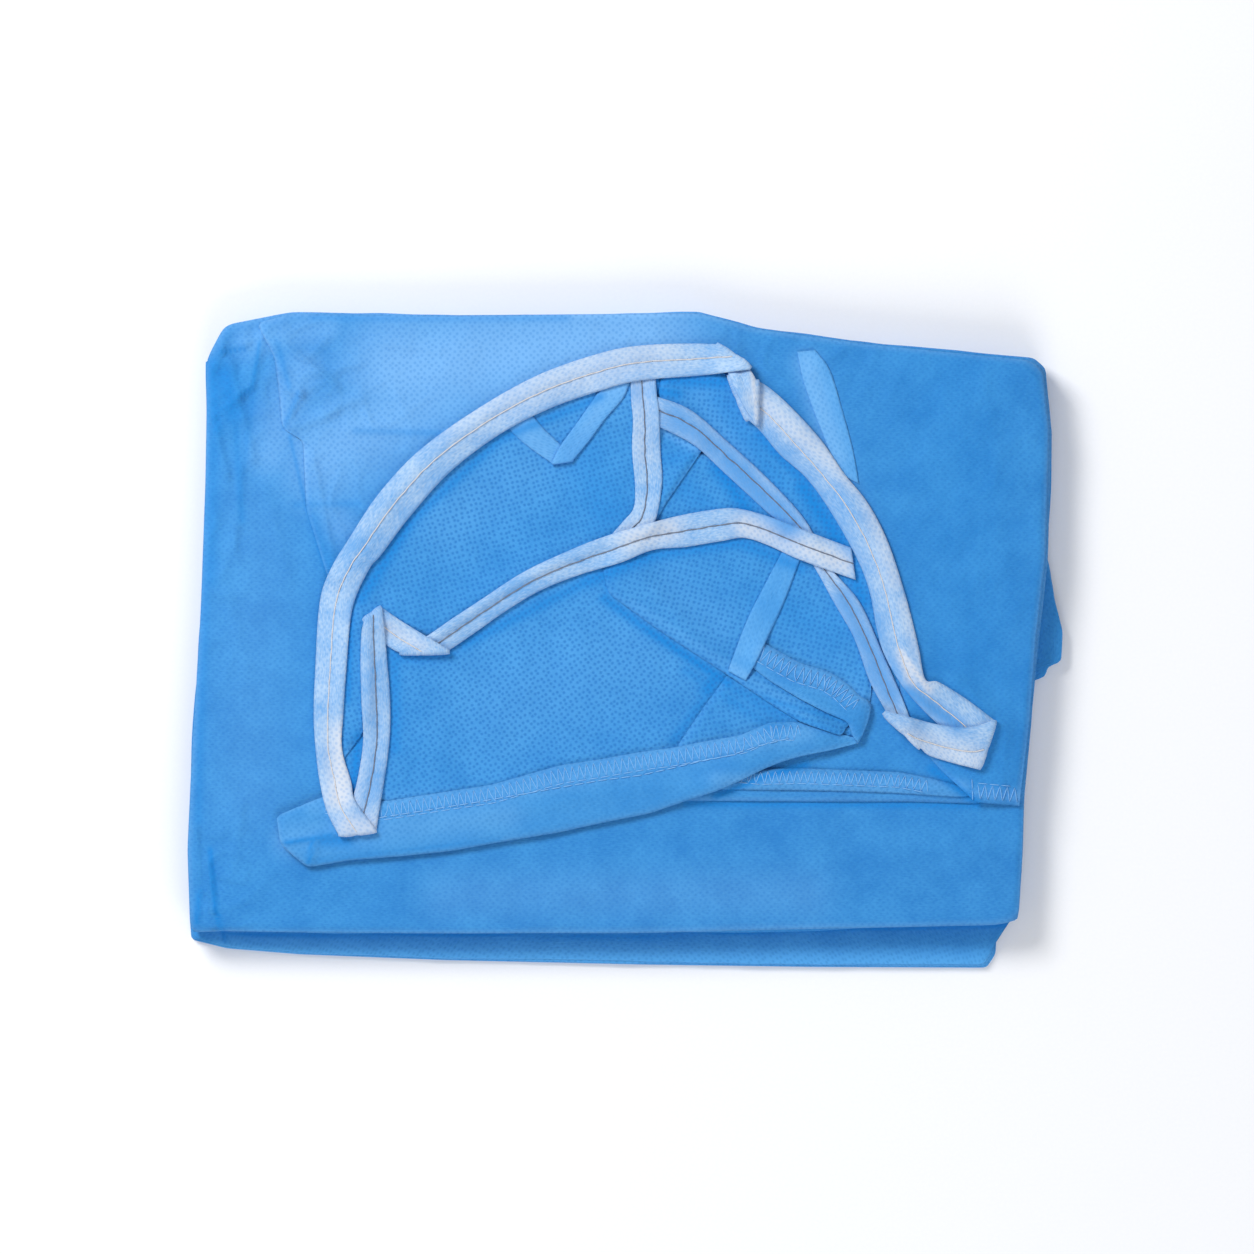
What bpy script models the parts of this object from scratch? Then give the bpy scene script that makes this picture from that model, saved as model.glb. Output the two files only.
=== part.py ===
"""A disposable surgical gown, folded flat into a packet and lying on its back fold.

+X runs along the packet's long side, +Y towards its top edge and +Z up from the surface that it lies on.
Lengths below are millimetres, and the meshes are metres.

The hidden layers are one rounded stack of plies. The panels that show are cloth walls laid on that stack
one after another, so each rests on what is below it. The neck binding and the ties are ribbons that fold
over themselves where the tape turns.
"""

import math

import bmesh
import bpy
import numpy as np
from mathutils import Vector, geometry

MM = 0.001

# Driving dimensions.
CLOTH = 1.0
GAP = 0.35
PLY_ROUNDING = 0.9
CROWN_RISE = 2.2
CROWN_RUN = 45.0
NECK_DIP = 3.2
TAPE_STEP = 5.5
SHORTEST_STEP = 0.4
SHEET_STEP = 9.5
GRID_STEP = 1.5
HALF_LENGTH = 147.0
HALF_WIDTH = 110.0

# The packet's edge, clockwise from the top left corner: x and y of the upper plies, then how far the bottom
# ply and the side ply stand out from them there.
EDGE = [
    # x, y, bottom dx, bottom dy, side dx, side dy
    (-140.5, 94.0, 1.0, 0.0, 0.5, 0.0),
    (-134.5, 105.5, 1.0, -1.0, 0.0, -1.5),
    (-112.0, 110.0, 0.0, -1.0, 0.0, -2.0),
    (-62.0, 109.0, 0.0, -1.0, 0.0, -0.5),
    (-8.5, 109.5, 0.0, -2.0, 0.0, -0.5),
    (24.5, 110.0, 0.0, -2.5, 0.0, -2.0),
    (43.0, 105.0, 0.0, -1.0, 0.0, -0.5),
    (83.0, 99.5, 0.0, -1.5, 0.0, -0.5),
    (136.5, 94.5, -3.0, -2.0, -1.5, -1.5),
    (140.5, 91.0, -3.0, -2.0, -1.0, -1.0),
    (142.5, 70.0, -3.5, 0.0, -0.5, 0.0),
    (141.5, 28.0, -4.0, 0.0, 0.5, 0.0),
    (140.0, 13.0, -4.0, 0.0, 4.5, 0.0),
    (138.5, 3.0, -3.5, 0.0, 8.5, 0.0),
    (137.5, -7.5, -3.5, 0.0, 9.0, 0.0),
    (137.3, -9.0, -3.5, 0.0, 4.6, 0.0),
    (137.0, -12.5, -3.5, 0.0, 4.4, 0.0),
    (136.8, -14.0, -3.5, 0.0, -0.5, 0.0),
    (136.0, -27.0, -4.0, 0.0, -0.5, 0.0),
    (133.5, -53.0, -4.5, -2.0, 0.0, 0.0),
    (133.0, -70.0, -7.5, -12.0, -0.5, 0.0),
    (131.5, -94.0, -7.5, -11.5, -1.0, 0.0),
    (124.0, -95.5, -3.0, -14.5, 0.0, 0.5),
    (62.5, -97.0, 0.0, -12.8, 0.0, 0.5),
    (4.5, -98.5, 0.0, -10.5, 0.0, 1.0),
    (-60.5, -98.5, 0.0, -9.0, 0.0, 0.5),
    (-110.0, -98.0, 0.0, -7.5, 0.0, 0.5),
    (-135.0, -97.5, 1.0, -6.0, 0.5, 0.5),
    (-146.0, -98.0, 0.0, -2.5, 1.0, 1.0),
    (-147.0, -70.0, 0.5, 0.0, 1.0, 0.0),
    (-145.5, -37.0, 1.0, 0.0, 0.5, 0.0),
    (-143.5, -7.0, 1.0, 0.0, 1.5, 0.0),
    (-142.5, 13.0, 0.5, 0.0, 1.0, 0.0),
    (-141.0, 53.0, 1.0, 0.0, 0.5, 0.0),
    (-140.5, 81.0, 1.0, 0.0, 0.0, 0.0),
]

# The plies of the hidden stack from the bottom up: height of the ply's top, which edge it has and how far
# it is drawn in.
PLIES = [
    # top z, edge, drawn in
    (3.0, "bottom", 0.0),
    (5.2, "side", 0.0),
    (7.4, "upper", 1.6),
    (9.6, "upper", 0.4),
    (11.8, "upper", 1.2),
]

# How the stack's top closes over: share of the edge's distance from the middle that each inner ring keeps.
TOP_RINGS = (0.94, 0.86, 0.76, 0.64, 0.5, 0.34, 0.16)

# Outlines of the cloth that shows, with the margins that lie under their neighbours.
NECK_OPENING = [
    (-98.0, 14.0), (-98.7, -3.0), (-99.0, -20.0), (-98.5, -37.0), (-96.0, -50.0), (-90.0, -59.0),
    (-62.0, -62.0), (4.5, -50.0), (31.0, -43.0), (58.0, -36.0), (85.0, -34.0), (106.0, -24.0),
    (106.0, 27.0), (93.0, 62.0), (62.0, 90.0), (31.0, 98.0), (4.5, 101.0), (-30.0, 94.0),
    (-60.0, 75.0), (-84.0, 48.0),
]
SIDE_PANEL = [
    (20.0, -53.5), (60.0, -53.8), (95.0, -53.8), (117.0, -54.5), (126.0, -52.0), (128.0, -30.0),
    (112.0, -12.0), (92.0, -12.0), (78.0, -17.0), (58.0, -24.0), (40.0, -36.0), (24.0, -46.0),
]
SIDE_HEM = [
    (24.7, -47.8), (30.7, -49.7), (58.0, -50.0), (74.7, -50.3), (91.3, -51.0), (111.3, -52.3),
    (116.5, -50.0), (107.3, -47.0), (101.3, -46.0), (91.3, -44.0), (74.7, -43.3), (58.0, -42.7),
    (44.7, -43.0), (34.0, -42.0),
]
LEFT_SLEEVE = [
    (-116.0, -60.0), (-114.4, -67.9), (-106.0, -74.8), (-75.3, -71.2), (-42.0, -66.5), (-8.7, -60.2),
    (20.4, -52.6), (30.4, -49.2), (46.0, -42.0), (58.0, -38.0), (76.0, -33.8), (80.0, -24.0),
    (79.0, -22.0), (71.0, -29.5), (45.0, -18.0), (24.0, 2.0), (6.0, 24.0), (-12.0, 32.0),
    (-40.0, 22.0), (-62.0, 10.0), (-76.0, 14.0), (-92.0, 8.0), (-95.0, -10.0), (-95.0, -36.0),
    (-95.0, -50.0), (-100.0, -52.4), (-108.7, -56.2),
]
LEFT_SLEEVE_FOLD = [
    (33.5, -12.0), (24.7, -24.0), (18.0, -34.0), (14.0, -40.5), (30.0, -39.0), (52.5, -34.5),
    (70.5, -34.0), (66.0, -26.0), (50.0, -14.0),
]
LEFT_SLEEVE_HEM = [
    (-116.3, -59.3), (-115.0, -68.3), (-106.0, -75.7), (-92.0, -73.3), (-75.3, -72.0), (-58.7, -70.3),
    (-42.0, -67.3), (-22.0, -64.0), (-8.7, -61.0), (8.0, -57.7), (20.7, -53.3), (30.7, -50.0),
    (38.0, -46.7), (46.3, -42.7), (51.3, -40.7), (58.0, -38.7), (68.0, -36.7), (77.3, -34.3),
    (74.7, -32.0), (68.0, -30.4), (58.0, -27.3), (48.0, -27.3), (38.0, -31.7), (24.7, -34.0),
    (14.7, -36.0), (4.7, -37.3), (-8.7, -39.7), (-22.0, -41.7), (-45.3, -48.3), (-58.7, -50.3),
    (-80.3, -53.7), (-99.7, -51.7), (-108.7, -55.3),
]
RIGHT_SLEEVE = [
    (-7.7, 23.7), (-6.0, 15.7), (8.0, 5.3), (16.3, -0.3), (24.7, -5.7), (36.3, -13.3), (49.7, -22.3),
    (58.0, -27.3), (63.0, -29.0), (72.0, -32.0), (73.3, -28.5), (78.5, -26.5), (81.5, -19.0),
    (82.0, -11.0), (78.0, 0.0), (72.0, 14.0), (62.0, 30.0), (46.0, 46.0), (30.0, 61.0), (20.0, 64.0),
    (10.0, 46.0), (2.0, 36.0),
]
RIGHT_SLEEVE_HEM = [
    (40.0, -7.5), (48.0, -13.7), (58.0, -19.7), (66.3, -24.0), (74.0, -27.3), (75.0, -31.7),
    (77.3, -34.3), (78.7, -31.7), (80.7, -26.7), (82.0, -20.5), (78.7, -19.5), (73.0, -14.0),
    (68.0, -10.7), (58.0, -7.7), (53.0, -5.0), (43.5, 0.5),
]
LEFT_BACK = [
    (-94.3, -40.0), (-87.5, -31.0), (-84.0, -20.0), (-84.5, 5.0), (-80.0, 6.5), (-62.0, -0.5),
    (-42.0, 14.3), (-22.0, 24.5), (-8.5, 30.3), (8.0, 35.0), (12.7, 44.7), (23.5, 61.3), (20.0, 72.0),
    (12.0, 88.0), (0.0, 93.0), (-22.0, 88.0), (-42.0, 79.0), (-62.0, 65.0), (-78.0, 49.0),
    (-90.0, 32.0), (-97.0, 14.0), (-98.3, -3.0), (-98.6, -20.0),
]
RIGHT_BACK = [
    (10.0, 77.5), (21.0, 70.0), (31.5, 62.7), (44.5, 51.7), (56.5, 38.5), (69.0, 21.7), (78.0, 5.0),
    (84.7, -10.0), (90.0, -23.0), (96.0, -30.0), (101.0, -24.0), (99.0, -4.0), (94.0, 16.0),
    (84.0, 36.0), (71.0, 56.0), (58.0, 72.0), (44.0, 84.0), (30.0, 91.0), (12.0, 90.0),
]
SHOULDER = [
    (-99.5, 21.5), (-106.5, 43.5), (-107.5, 66.5), (-114.5, 70.5), (-115.5, 82.5), (-117.0, 94.0),
    (-123.0, 105.5), (-112.0, 108.6), (-62.0, 107.8), (-8.5, 108.3), (24.3, 108.8), (42.8, 103.7),
    (82.8, 98.3), (134.5, 93.2), (139.0, 90.0), (141.0, 70.0), (139.8, 28.0), (136.6, 0.0),
    (134.5, -27.0), (131.0, -55.3), (116.3, -54.0), (104.5, -43.0), (92.5, -29.0), (91.0, -15.0),
    (90.5, 0.0), (86.5, 17.0), (81.5, 28.5), (74.5, 40.0), (68.0, 53.5), (58.0, 64.5), (48.0, 75.0),
    (42.0, 82.0), (31.5, 92.5), (24.5, 93.0), (4.5, 92.0), (-8.5, 89.3), (-25.5, 83.7), (-42.0, 75.3),
    (-58.5, 63.3), (-75.5, 45.7), (-85.5, 30.0), (-93.5, 17.0),
]

# Ribbons: the two edges of the tape at each row, and each run ends on the crease where the tape folds.
# The runs stand in the tape's own order, so edge one stays edge one along the whole tape.
BINDING = {
    # edge one x, y, edge two x, y
    "back_right": [
        (9.0, 81.5, 10.0, 71.5), (21.5, 76.5, 22.5, 65.0), (34.5, 65.5, 33.0, 55.5),
        (48.5, 52.5, 46.0, 43.5), (60.0, 39.5, 57.0, 33.0), (67.5, 25.0, 63.5, 23.0),
        (77.5, 13.0, 69.0, 13.0), (84.5, -2.0, 76.0, 0.5), (92.5, -21.0, 81.0, -13.5),
        (98.0, -36.0, 86.3, -23.5),
    ],
    "right_return": [
        (98.0, -36.0, 86.3, -23.5), (101.0, -38.5, 94.0, -25.5), (109.0, -41.0, 103.5, -28.0),
        (115.0, -42.5, 114.0, -29.0), (117.0, -43.0, 122.3, -26.5),
    ],
    "right_arc": [
        (117.0, -43.0, 122.3, -26.5), (109.5, -33.5, 113.0, -19.5), (99.5, -24.0, 104.0, -14.0),
        (92.0, -15.5, 99.5, -13.0), (86.0, -5.0, 97.5, -3.3), (83.5, 3.5, 96.0, 3.3),
        (81.0, 16.5, 92.5, 16.5), (76.5, 28.0, 87.0, 33.0), (68.0, 43.0, 80.5, 45.5),
        (60.0, 54.0, 72.5, 55.5), (51.5, 61.5, 64.5, 67.0), (46.5, 67.5, 53.0, 79.3),
        (43.7, 70.6, 44.0, 86.2), (41.0, 73.0, 34.5, 88.5),
    ],
    "pleat": [
        (41.0, 73.0, 34.5, 88.5), (43.0, 71.3, 43.2, 86.6),
    ],
    "crown_turn": [
        (43.0, 71.3, 43.2, 86.6), (37.5, 80.5, 42.3, 88.3), (30.0, 98.5, 41.3, 89.9),
    ],
    "arc": [
        (30.0, 98.5, 41.3, 89.9), (20.0, 98.7, 24.5, 88.0), (4.5, 98.0, 4.5, 86.3),
        (-8.5, 95.5, -8.5, 83.0), (-28.5, 88.5, -25.5, 77.0), (-48.5, 77.5, -42.0, 68.5),
        (-68.5, 63.3, -58.5, 56.0), (-82.0, 49.0, -72.0, 41.0), (-92.0, 34.0, -81.5, 28.3),
        (-98.3, 23.5, -85.5, 23.5), (-102.0, 12.5, -91.0, 10.5), (-103.5, -10.0, -93.0, -10.0),
        (-104.0, -25.0, -94.0, -24.5), (-103.3, -37.0, -94.5, -36.0), (-102.0, -47.0, -91.5, -47.0),
        (-99.5, -57.0, -90.0, -53.5), (-95.7, -64.5, -83.0, -63.0),
    ],
    "left_leg": [
        (-95.7, -64.5, -83.0, -63.0), (-92.5, -57.0, -82.0, -56.5), (-89.5, -47.0, -80.5, -47.0),
        (-87.5, -33.5, -78.7, -33.5), (-88.0, -20.0, -78.5, -20.0), (-88.3, -6.5, -79.5, -6.5),
        (-88.0, 2.0, -80.3, 4.0), (-87.3, 6.0, -81.0, 10.7),
    ],
    "left_turn": [
        (-87.3, 6.0, -81.0, 10.7), (-80.5, -1.0, -75.0, 6.5), (-77.5, -3.2, -68.5, 2.5),
        (-75.5, -4.2, -58.7, -3.3),
    ],
    "back_left": [
        (-75.5, -4.2, -58.7, -3.3), (-66.0, 1.5, -55.0, -0.8), (-58.5, 6.7, -48.5, 3.7),
        (-48.5, 13.3, -39.5, 10.0), (-35.3, 22.0, -28.5, 16.5), (-22.0, 28.5, -15.5, 21.7),
        (-8.5, 34.0, -2.0, 25.7), (4.5, 38.0, 9.0, 30.0), (18.0, 41.5, 20.0, 31.0),
        (31.0, 43.7, 32.0, 33.0), (38.0, 43.7, 39.5, 34.0), (48.0, 41.0, 47.5, 31.5),
        (61.0, 36.0, 58.0, 26.7), (75.0, 30.7, 76.5, 20.0),
    ],
}
NECK_TIE = {
    "drop": [
        (1.5, 88.5, 9.7, 89.5), (1.7, 80.0, 10.3, 81.5), (2.3, 73.0, 11.0, 75.0),
        (2.0, 63.0, 11.5, 63.0), (3.0, 51.5, 12.0, 52.0), (2.5, 44.0, 9.5, 39.0),
        (-1.0, 39.5, 4.5, 33.0), (-4.5, 35.5, 1.0, 29.0),
    ],
}
WAIST_TIE = {
    "run": [
        (53.0, 31.5, 59.5, 29.0), (51.5, 28.5, 57.7, 26.0), (45.5, 17.0, 53.0, 13.5),
        (40.5, 7.0, 48.0, 2.5), (35.7, -5.5, 43.0, -8.0), (34.0, -10.3, 39.8, -13.5),
    ],
}
BACK_TIE = {
    "fall": [
        (-40.0, 72.0, -32.5, 76.5), (-37.5, 68.8, -27.0, 70.0), (-32.0, 64.0, -21.5, 64.7),
        (-24.8, 59.0, -17.5, 60.0),
    ],
    "rise": [
        (-24.8, 59.0, -17.5, 60.0), (-22.0, 64.5, -12.0, 66.7), (-15.5, 73.5, -7.0, 73.5),
        (-9.0, 83.0, -1.0, 80.5), (-7.0, 87.5, 1.3, 86.0),
    ],
}
FRONT_TIE = {
    "run": [
        (57.0, 96.0, 63.0, 96.5), (59.0, 86.5, 68.0, 89.5), (63.0, 75.0, 72.0, 76.5),
        (67.5, 63.5, 75.5, 63.5), (70.5, 55.5, 77.5, 52.0),
    ],
}

# Which ribbon runs lie on which, from the bottom up.
BINDING_ORDER = (
    "back_right", "neck tie", "back_left", "left_turn", "left_leg", "right_arc", "right_return", "pleat",
    "crown_turn", "arc",
)

CLOTH_BLUE = (0.07, 0.31, 0.78, 1.0)
TAPE_BLUE = (0.48, 0.68, 0.92, 1.0)

xs = np.arange(-HALF_LENGTH - 3 * GRID_STEP, HALF_LENGTH + 4 * GRID_STEP, GRID_STEP)
ys = np.arange(-HALF_WIDTH - 3 * GRID_STEP, HALF_WIDTH + 4 * GRID_STEP, GRID_STEP)
GRID_X, GRID_Y = np.meshgrid(xs, ys, indexing="ij")


def clear_scene():
    for obj in list(bpy.data.objects):
        bpy.data.objects.remove(obj)


def material(name, colour, roughness):
    made = bpy.data.materials.new(name)
    made.use_nodes = True
    shader = made.node_tree.nodes["Principled BSDF"]
    shader.inputs["Base Color"].default_value = colour
    shader.inputs["Roughness"].default_value = roughness
    shader.inputs["Metallic"].default_value = 0.0
    return made


def add_object(name, points, faces, finish):
    """One closed body from points in millimetres, its faces turned outwards."""
    mesh = bpy.data.meshes.new(name)
    mesh.from_pydata([Vector(p) * MM for p in points], [], faces)
    shape = bmesh.new()
    shape.from_mesh(mesh)
    if shape.calc_volume(signed=True) < 0.0:
        bmesh.ops.reverse_faces(shape, faces=shape.faces)
    bmesh.ops.triangulate(shape, faces=shape.faces)
    shape.to_mesh(mesh)
    shape.free()
    mesh.materials.append(finish)
    obj = bpy.data.objects.new(name, mesh)
    bpy.context.scene.collection.objects.link(obj)
    return obj


def inside(loop, x, y):
    """True where (x, y) lies within the closed outline, by the even-odd rule."""
    found = np.zeros(np.shape(x), bool)
    for (x0, y0), (x1, y1) in zip(loop, np.roll(loop, -1, axis=0)):
        if y0 == y1:
            continue
        crosses = (y0 > y) != (y1 > y)
        found ^= crosses & (x < x0 + (y - y0) * (x1 - x0) / (y1 - y0))
    return found


def rounded(corners, radius):
    """The outline with each corner cut back and bent through a quadratic curve of three points."""
    corners = np.array(corners, float)
    out = []
    for before, here, after in zip(np.roll(corners, 1, axis=0), corners, np.roll(corners, -1, axis=0)):
        back, ahead = before - here, after - here
        back_cut = min(radius, 0.42 * np.linalg.norm(back))
        ahead_cut = min(radius, 0.42 * np.linalg.norm(ahead))
        start = here + back * back_cut / np.linalg.norm(back)
        end = here + ahead * ahead_cut / np.linalg.norm(ahead)
        out += [start, 0.25 * start + 0.5 * here + 0.25 * end, end]
    return np.array(out)


def edge_loop(which, drawn_in):
    """The packet's edge for one kind of ply, drawn in towards the middle."""
    table = np.array(EDGE)
    shift = {"upper": 0.0, "bottom": table[:, 2:4], "side": table[:, 4:6]}[which]
    loop = table[:, :2] + shift
    return loop * (1.0 - drawn_in / np.linalg.norm(loop, axis=1, keepdims=True))


def from_edge(x, y):
    """How far inside the packet's straight-sided box a point lies."""
    return np.minimum(HALF_LENGTH - np.abs(x), HALF_WIDTH - np.abs(y))


def neck_depth(x, y):
    """0 outside the neck opening and 1 well inside it: an oval about the middle of the opening."""
    across = np.hypot((x - 5.0) / 95.0, (y - 18.0) / 72.0)
    return np.clip((1.0 - across) / 0.45, 0.0, 1.0)


def stack_top(x, y):
    """The hidden stack's upper face: low at the edge, crowned further in, dipped where the neck opens."""
    rise = np.clip(from_edge(x, y) / CROWN_RUN, 0.0, 1.0)
    dip = neck_depth(x, y)
    smooth_rise = rise * (2.0 - rise)
    smooth_dip = dip * dip * (3.0 - 2.0 * dip)
    return PLIES[-1][0] + CROWN_RISE * smooth_rise - NECK_DIP * smooth_dip


def neighbour_sum(values):
    """The sum of each cell and its four neighbours, with nothing beyond the grid."""
    padded = np.pad(values, 1)
    return values + padded[2:, 1:-1] + padded[:-2, 1:-1] + padded[1:-1, 2:] + padded[1:-1, :-2]


def settled(support, covered, passes):
    """Height of cloth laid on the support: it rests on the high places and spans between them."""
    weight = covered.astype(float)
    counts = np.maximum(neighbour_sum(weight), 1.0)
    height = support.copy()
    for _ in range(passes):
        height = np.maximum(support, neighbour_sum(height * weight) / counts)
    return height


def sampled(field, points):
    """The field between grid points, weighted by how near each of the four corners is."""
    u = (points[:, 0] - xs[0]) / GRID_STEP
    v = (points[:, 1] - ys[0]) / GRID_STEP
    i = np.clip(u.astype(int), 0, len(xs) - 2)
    j = np.clip(v.astype(int), 0, len(ys) - 2)
    u, v = u - i, v - j
    near = field[i, j] * (1 - v) + field[i, j + 1] * v
    far = field[i + 1, j] * (1 - v) + field[i + 1, j + 1] * v
    return near * (1 - u) + far * u


def under_triangle(corners):
    """The grid points within a triangle as index arrays, and their shares of its three corners."""
    low = np.floor((corners.min(axis=0) - (xs[0], ys[0])) / GRID_STEP).astype(int)
    high = np.ceil((corners.max(axis=0) - (xs[0], ys[0])) / GRID_STEP).astype(int)
    i, j = np.meshgrid(np.arange(low[0], high[0] + 1), np.arange(low[1], high[1] + 1), indexing="ij")
    i, j = i.ravel(), j.ravel()
    place = np.column_stack([xs[i], ys[j]])
    first, second, third = corners
    turn = (second[0] - first[0]) * (third[1] - first[1]) - (third[0] - first[0]) * (second[1] - first[1])
    if abs(turn) < 1e-9:
        return i[:0], j[:0], np.zeros((0, 3))
    away = place - first
    b = (away[:, 0] * (third[1] - first[1]) - away[:, 1] * (third[0] - first[0])) / turn
    c = (away[:, 1] * (second[0] - first[0]) - away[:, 0] * (second[1] - first[1])) / turn
    shares = np.column_stack([1 - b - c, b, c])
    within = (shares > -0.12).all(axis=1)
    return i[within], j[within], shares[within]


def covered_by(support, faces, parts, height):
    """The support raised to the triangles at the given height, one grid step past their edges as well."""
    covered = np.full(support.shape, -np.inf)
    for face, (i, j, shares) in zip(faces, parts):
        covered[i, j] = np.maximum(covered[i, j], shares @ height[face])
    padded = np.pad(covered, 1, constant_values=-np.inf)
    width, depth = support.shape
    spread = [padded[a : a + width, b : b + depth] for a in range(3) for b in range(3)]
    return np.maximum(support, np.max(spread, axis=0))


def laid(points, faces, height, support):
    """Raises the corners until no triangle dips below the support; returns the height and the new support."""
    faces = np.array(faces)
    parts = [under_triangle(points[face]) for face in faces]
    for _ in range(8):
        for face, (i, j, shares) in zip(faces, parts):
            if len(i):
                short = (support[i, j] - shares @ height[face]).max()
                if short > 0:
                    height[face] += short
    return height, covered_by(support, faces, parts, height + CLOTH + GAP)


def folded_stack(finish):
    """The hidden layers as one body: each ply a band with a rounded edge, then rings that close the top."""
    rings = []
    below = 0.0
    for top, which, drawn_in in PLIES:
        for share, extra in ((0.0, PLY_ROUNDING), (0.25, 0.2), (0.75, 0.2), (1.0, PLY_ROUNDING)):
            loop = edge_loop(which, drawn_in + extra)
            height = below + share * (top - below)
            if share == 1.0 and top != PLIES[-1][0]:
                height -= 0.15
            rings.append(np.column_stack([loop, np.full(len(loop), height)]))
        below = top
    rim = edge_loop(PLIES[-1][1], PLIES[-1][2] + PLY_ROUNDING)
    for share in TOP_RINGS:
        loop = rim * share
        rings.append(np.column_stack([loop, stack_top(loop[:, 0], loop[:, 1])]))
    count = len(EDGE)
    points = np.vstack(rings + [[(0.0, 0.0, float(stack_top(0.0, 0.0)))]])
    faces = [list(range(count))[::-1]]
    for low in range(0, (len(rings) - 1) * count, count):
        for i in range(count):
            j = (i + 1) % count
            faces += [[low + i, low + j, low + j + count], [low + i, low + j + count, low + i + count]]
    last = (len(rings) - 1) * count
    faces += [[last + i, last + (i + 1) % count, len(points) - 1] for i in range(count)]
    add_object("folded_body", points, faces, finish)
    top_faces = np.array(faces[-(2 * len(TOP_RINGS) + 1) * count :])
    parts = [under_triangle(points[face, :2]) for face in top_faces]
    return covered_by(stack_top(GRID_X, GRID_Y) + GAP, top_faces, parts, points[:, 2] + GAP)


def triangles_within(loops):
    """Corners and triangles that fill the outlines: their own points and a staggered grid inside."""
    edge_points = np.concatenate(loops)
    links, first = [], 0
    for loop in loops:
        links += [(first + k, first + (k + 1) % len(loop)) for k in range(len(loop))]
        first += len(loop)
    low, high = edge_points.min(axis=0), edge_points.max(axis=0)
    fill = []
    for row, y in enumerate(np.arange(low[1], high[1], SHEET_STEP * math.sqrt(0.75))):
        shift = 0.5 * SHEET_STEP * (row % 2)
        for x in np.arange(low[0] + shift, high[0], SHEET_STEP):
            if np.hypot(*(edge_points - (x, y)).T).min() > 0.5 * SHEET_STEP:
                fill.append((x, y))
    fill = np.array(fill).reshape(-1, 2)
    keep = np.zeros(len(fill), bool)
    for loop in loops:
        keep ^= inside(loop, fill[:, 0], fill[:, 1])
    every = np.concatenate([edge_points, fill[keep]])
    made = geometry.delaunay_2d_cdt([Vector(p) for p in every], links, [], 0, 1e-5)
    points = np.array([tuple(p) for p in made[0]])
    faces = [tuple(face) for face in made[2]]
    middles = np.array([points[list(face)].mean(axis=0) for face in faces])
    keep = np.zeros(len(faces), bool)
    for loop in loops:
        keep ^= inside(loop, middles[:, 0], middles[:, 1])
    return points, [face for face, kept in zip(faces, keep) if kept]


def wall(name, points, faces, height, finish):
    """A cloth wall: the triangles, the same ones a cloth's thickness above, and sides between them."""
    used = sorted({corner for face in faces for corner in face})
    renumber = {old: new for new, old in enumerate(used)}
    faces = [[renumber[corner] for corner in face] for face in faces]
    low = np.column_stack([points[used], height[used]])
    high = low + (0.0, 0.0, CLOTH)
    count = len(used)
    once = {}
    for face in faces:
        for a, b in zip(face, face[1:] + face[:1]):
            if once.pop((b, a), None) is None:
                once[(a, b)] = True
    body = [face[::-1] for face in faces] + [[corner + count for corner in face] for face in faces]
    body += [[a, b, b + count, a + count] for a, b in once]
    return add_object(name, np.concatenate([low, high]), body, finish)


def cloth_panel(name, outline, radius, support, finish, hole=None):
    """One panel cut to its outline and laid on what is already there."""
    loops = [rounded(outline, radius)]
    if hole is not None:
        loops.append(rounded(hole, radius))
    covered = np.zeros(support.shape, bool)
    for loop in loops:
        covered ^= inside(loop, GRID_X, GRID_Y)
    points, faces = triangles_within(loops)
    height = sampled(settled(support, covered, 24), points)
    height, support = laid(points, faces, height, support)
    wall(name, points, faces, height, finish)
    return support


def along(rows):
    """The tape's two edges at even steps, on a smooth curve through the rows of one run."""
    rows = np.array(rows, float)
    before = np.vstack([2 * rows[0] - rows[1], rows, 2 * rows[-1] - rows[-2]])
    out = []
    for k in range(len(rows) - 1):
        p0, p1, p2, p3 = before[k : k + 4]
        reach = sorted((np.linalg.norm(p2[:2] - p1[:2]), np.linalg.norm(p2[2:] - p1[2:])))
        steps = max(1, min(round(reach[1] / TAPE_STEP), int(reach[0] / SHORTEST_STEP)))
        for t in np.arange(steps) / steps:
            out.append(
                0.5 * (2 * p1 + (p2 - p0) * t + (2 * p0 - 5 * p1 + 4 * p2 - p3) * t**2
                       + (3 * p1 - p0 - 3 * p2 + p3) * t**3)
            )
    out.append(rows[-1])
    return np.array(out)


def run_on(rows, support):
    """One run of tape on the support: three points across at each step, their heights, the new support."""
    edges = along(rows)
    across = np.stack([edges[:, :2], (edges[:, :2] + edges[:, 2:]) / 2, edges[:, 2:]], axis=1)
    count = len(across)
    points = across.reshape(-1, 2)
    faces = []
    for k in range(count - 1):
        for side in (0, 1):
            a, b = 3 * k + side, 3 * k + side + 1
            faces += [(a, b, b + 3), (a, b + 3, a + 3)]
    height = sampled(support, points).reshape(count, 3)
    for _ in range(4):
        ends = np.vstack([height[:1], height, height[-1:]])
        height = np.maximum(height, (ends[:-2] + ends[1:-1] + ends[2:]) / 3)
    height, support = laid(points, faces, height.ravel(), support)
    return across, height.reshape(count, 3), support


def section(across, height, upright):
    """Six corners of the tape's cross-section: its back face, then its front face the other way round."""
    low = np.column_stack([across, height])
    high = low + (0.0, 0.0, CLOTH)
    return np.vstack([low, high[::-1]]) if upright else np.vstack([high, low[::-1]])


def crease(across, outward, lower, upper, back_outside):
    """The cross-section on a fold, standing on its side halfway between the two runs that it joins."""
    middle = (lower + upper + CLOTH) / 2
    near = np.column_stack([across + 0.15 * outward, middle])
    far = np.column_stack([across + (0.15 + CLOTH) * outward, middle])
    return np.vstack([far, near[::-1]]) if back_outside else np.vstack([near, far[::-1]])


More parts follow.
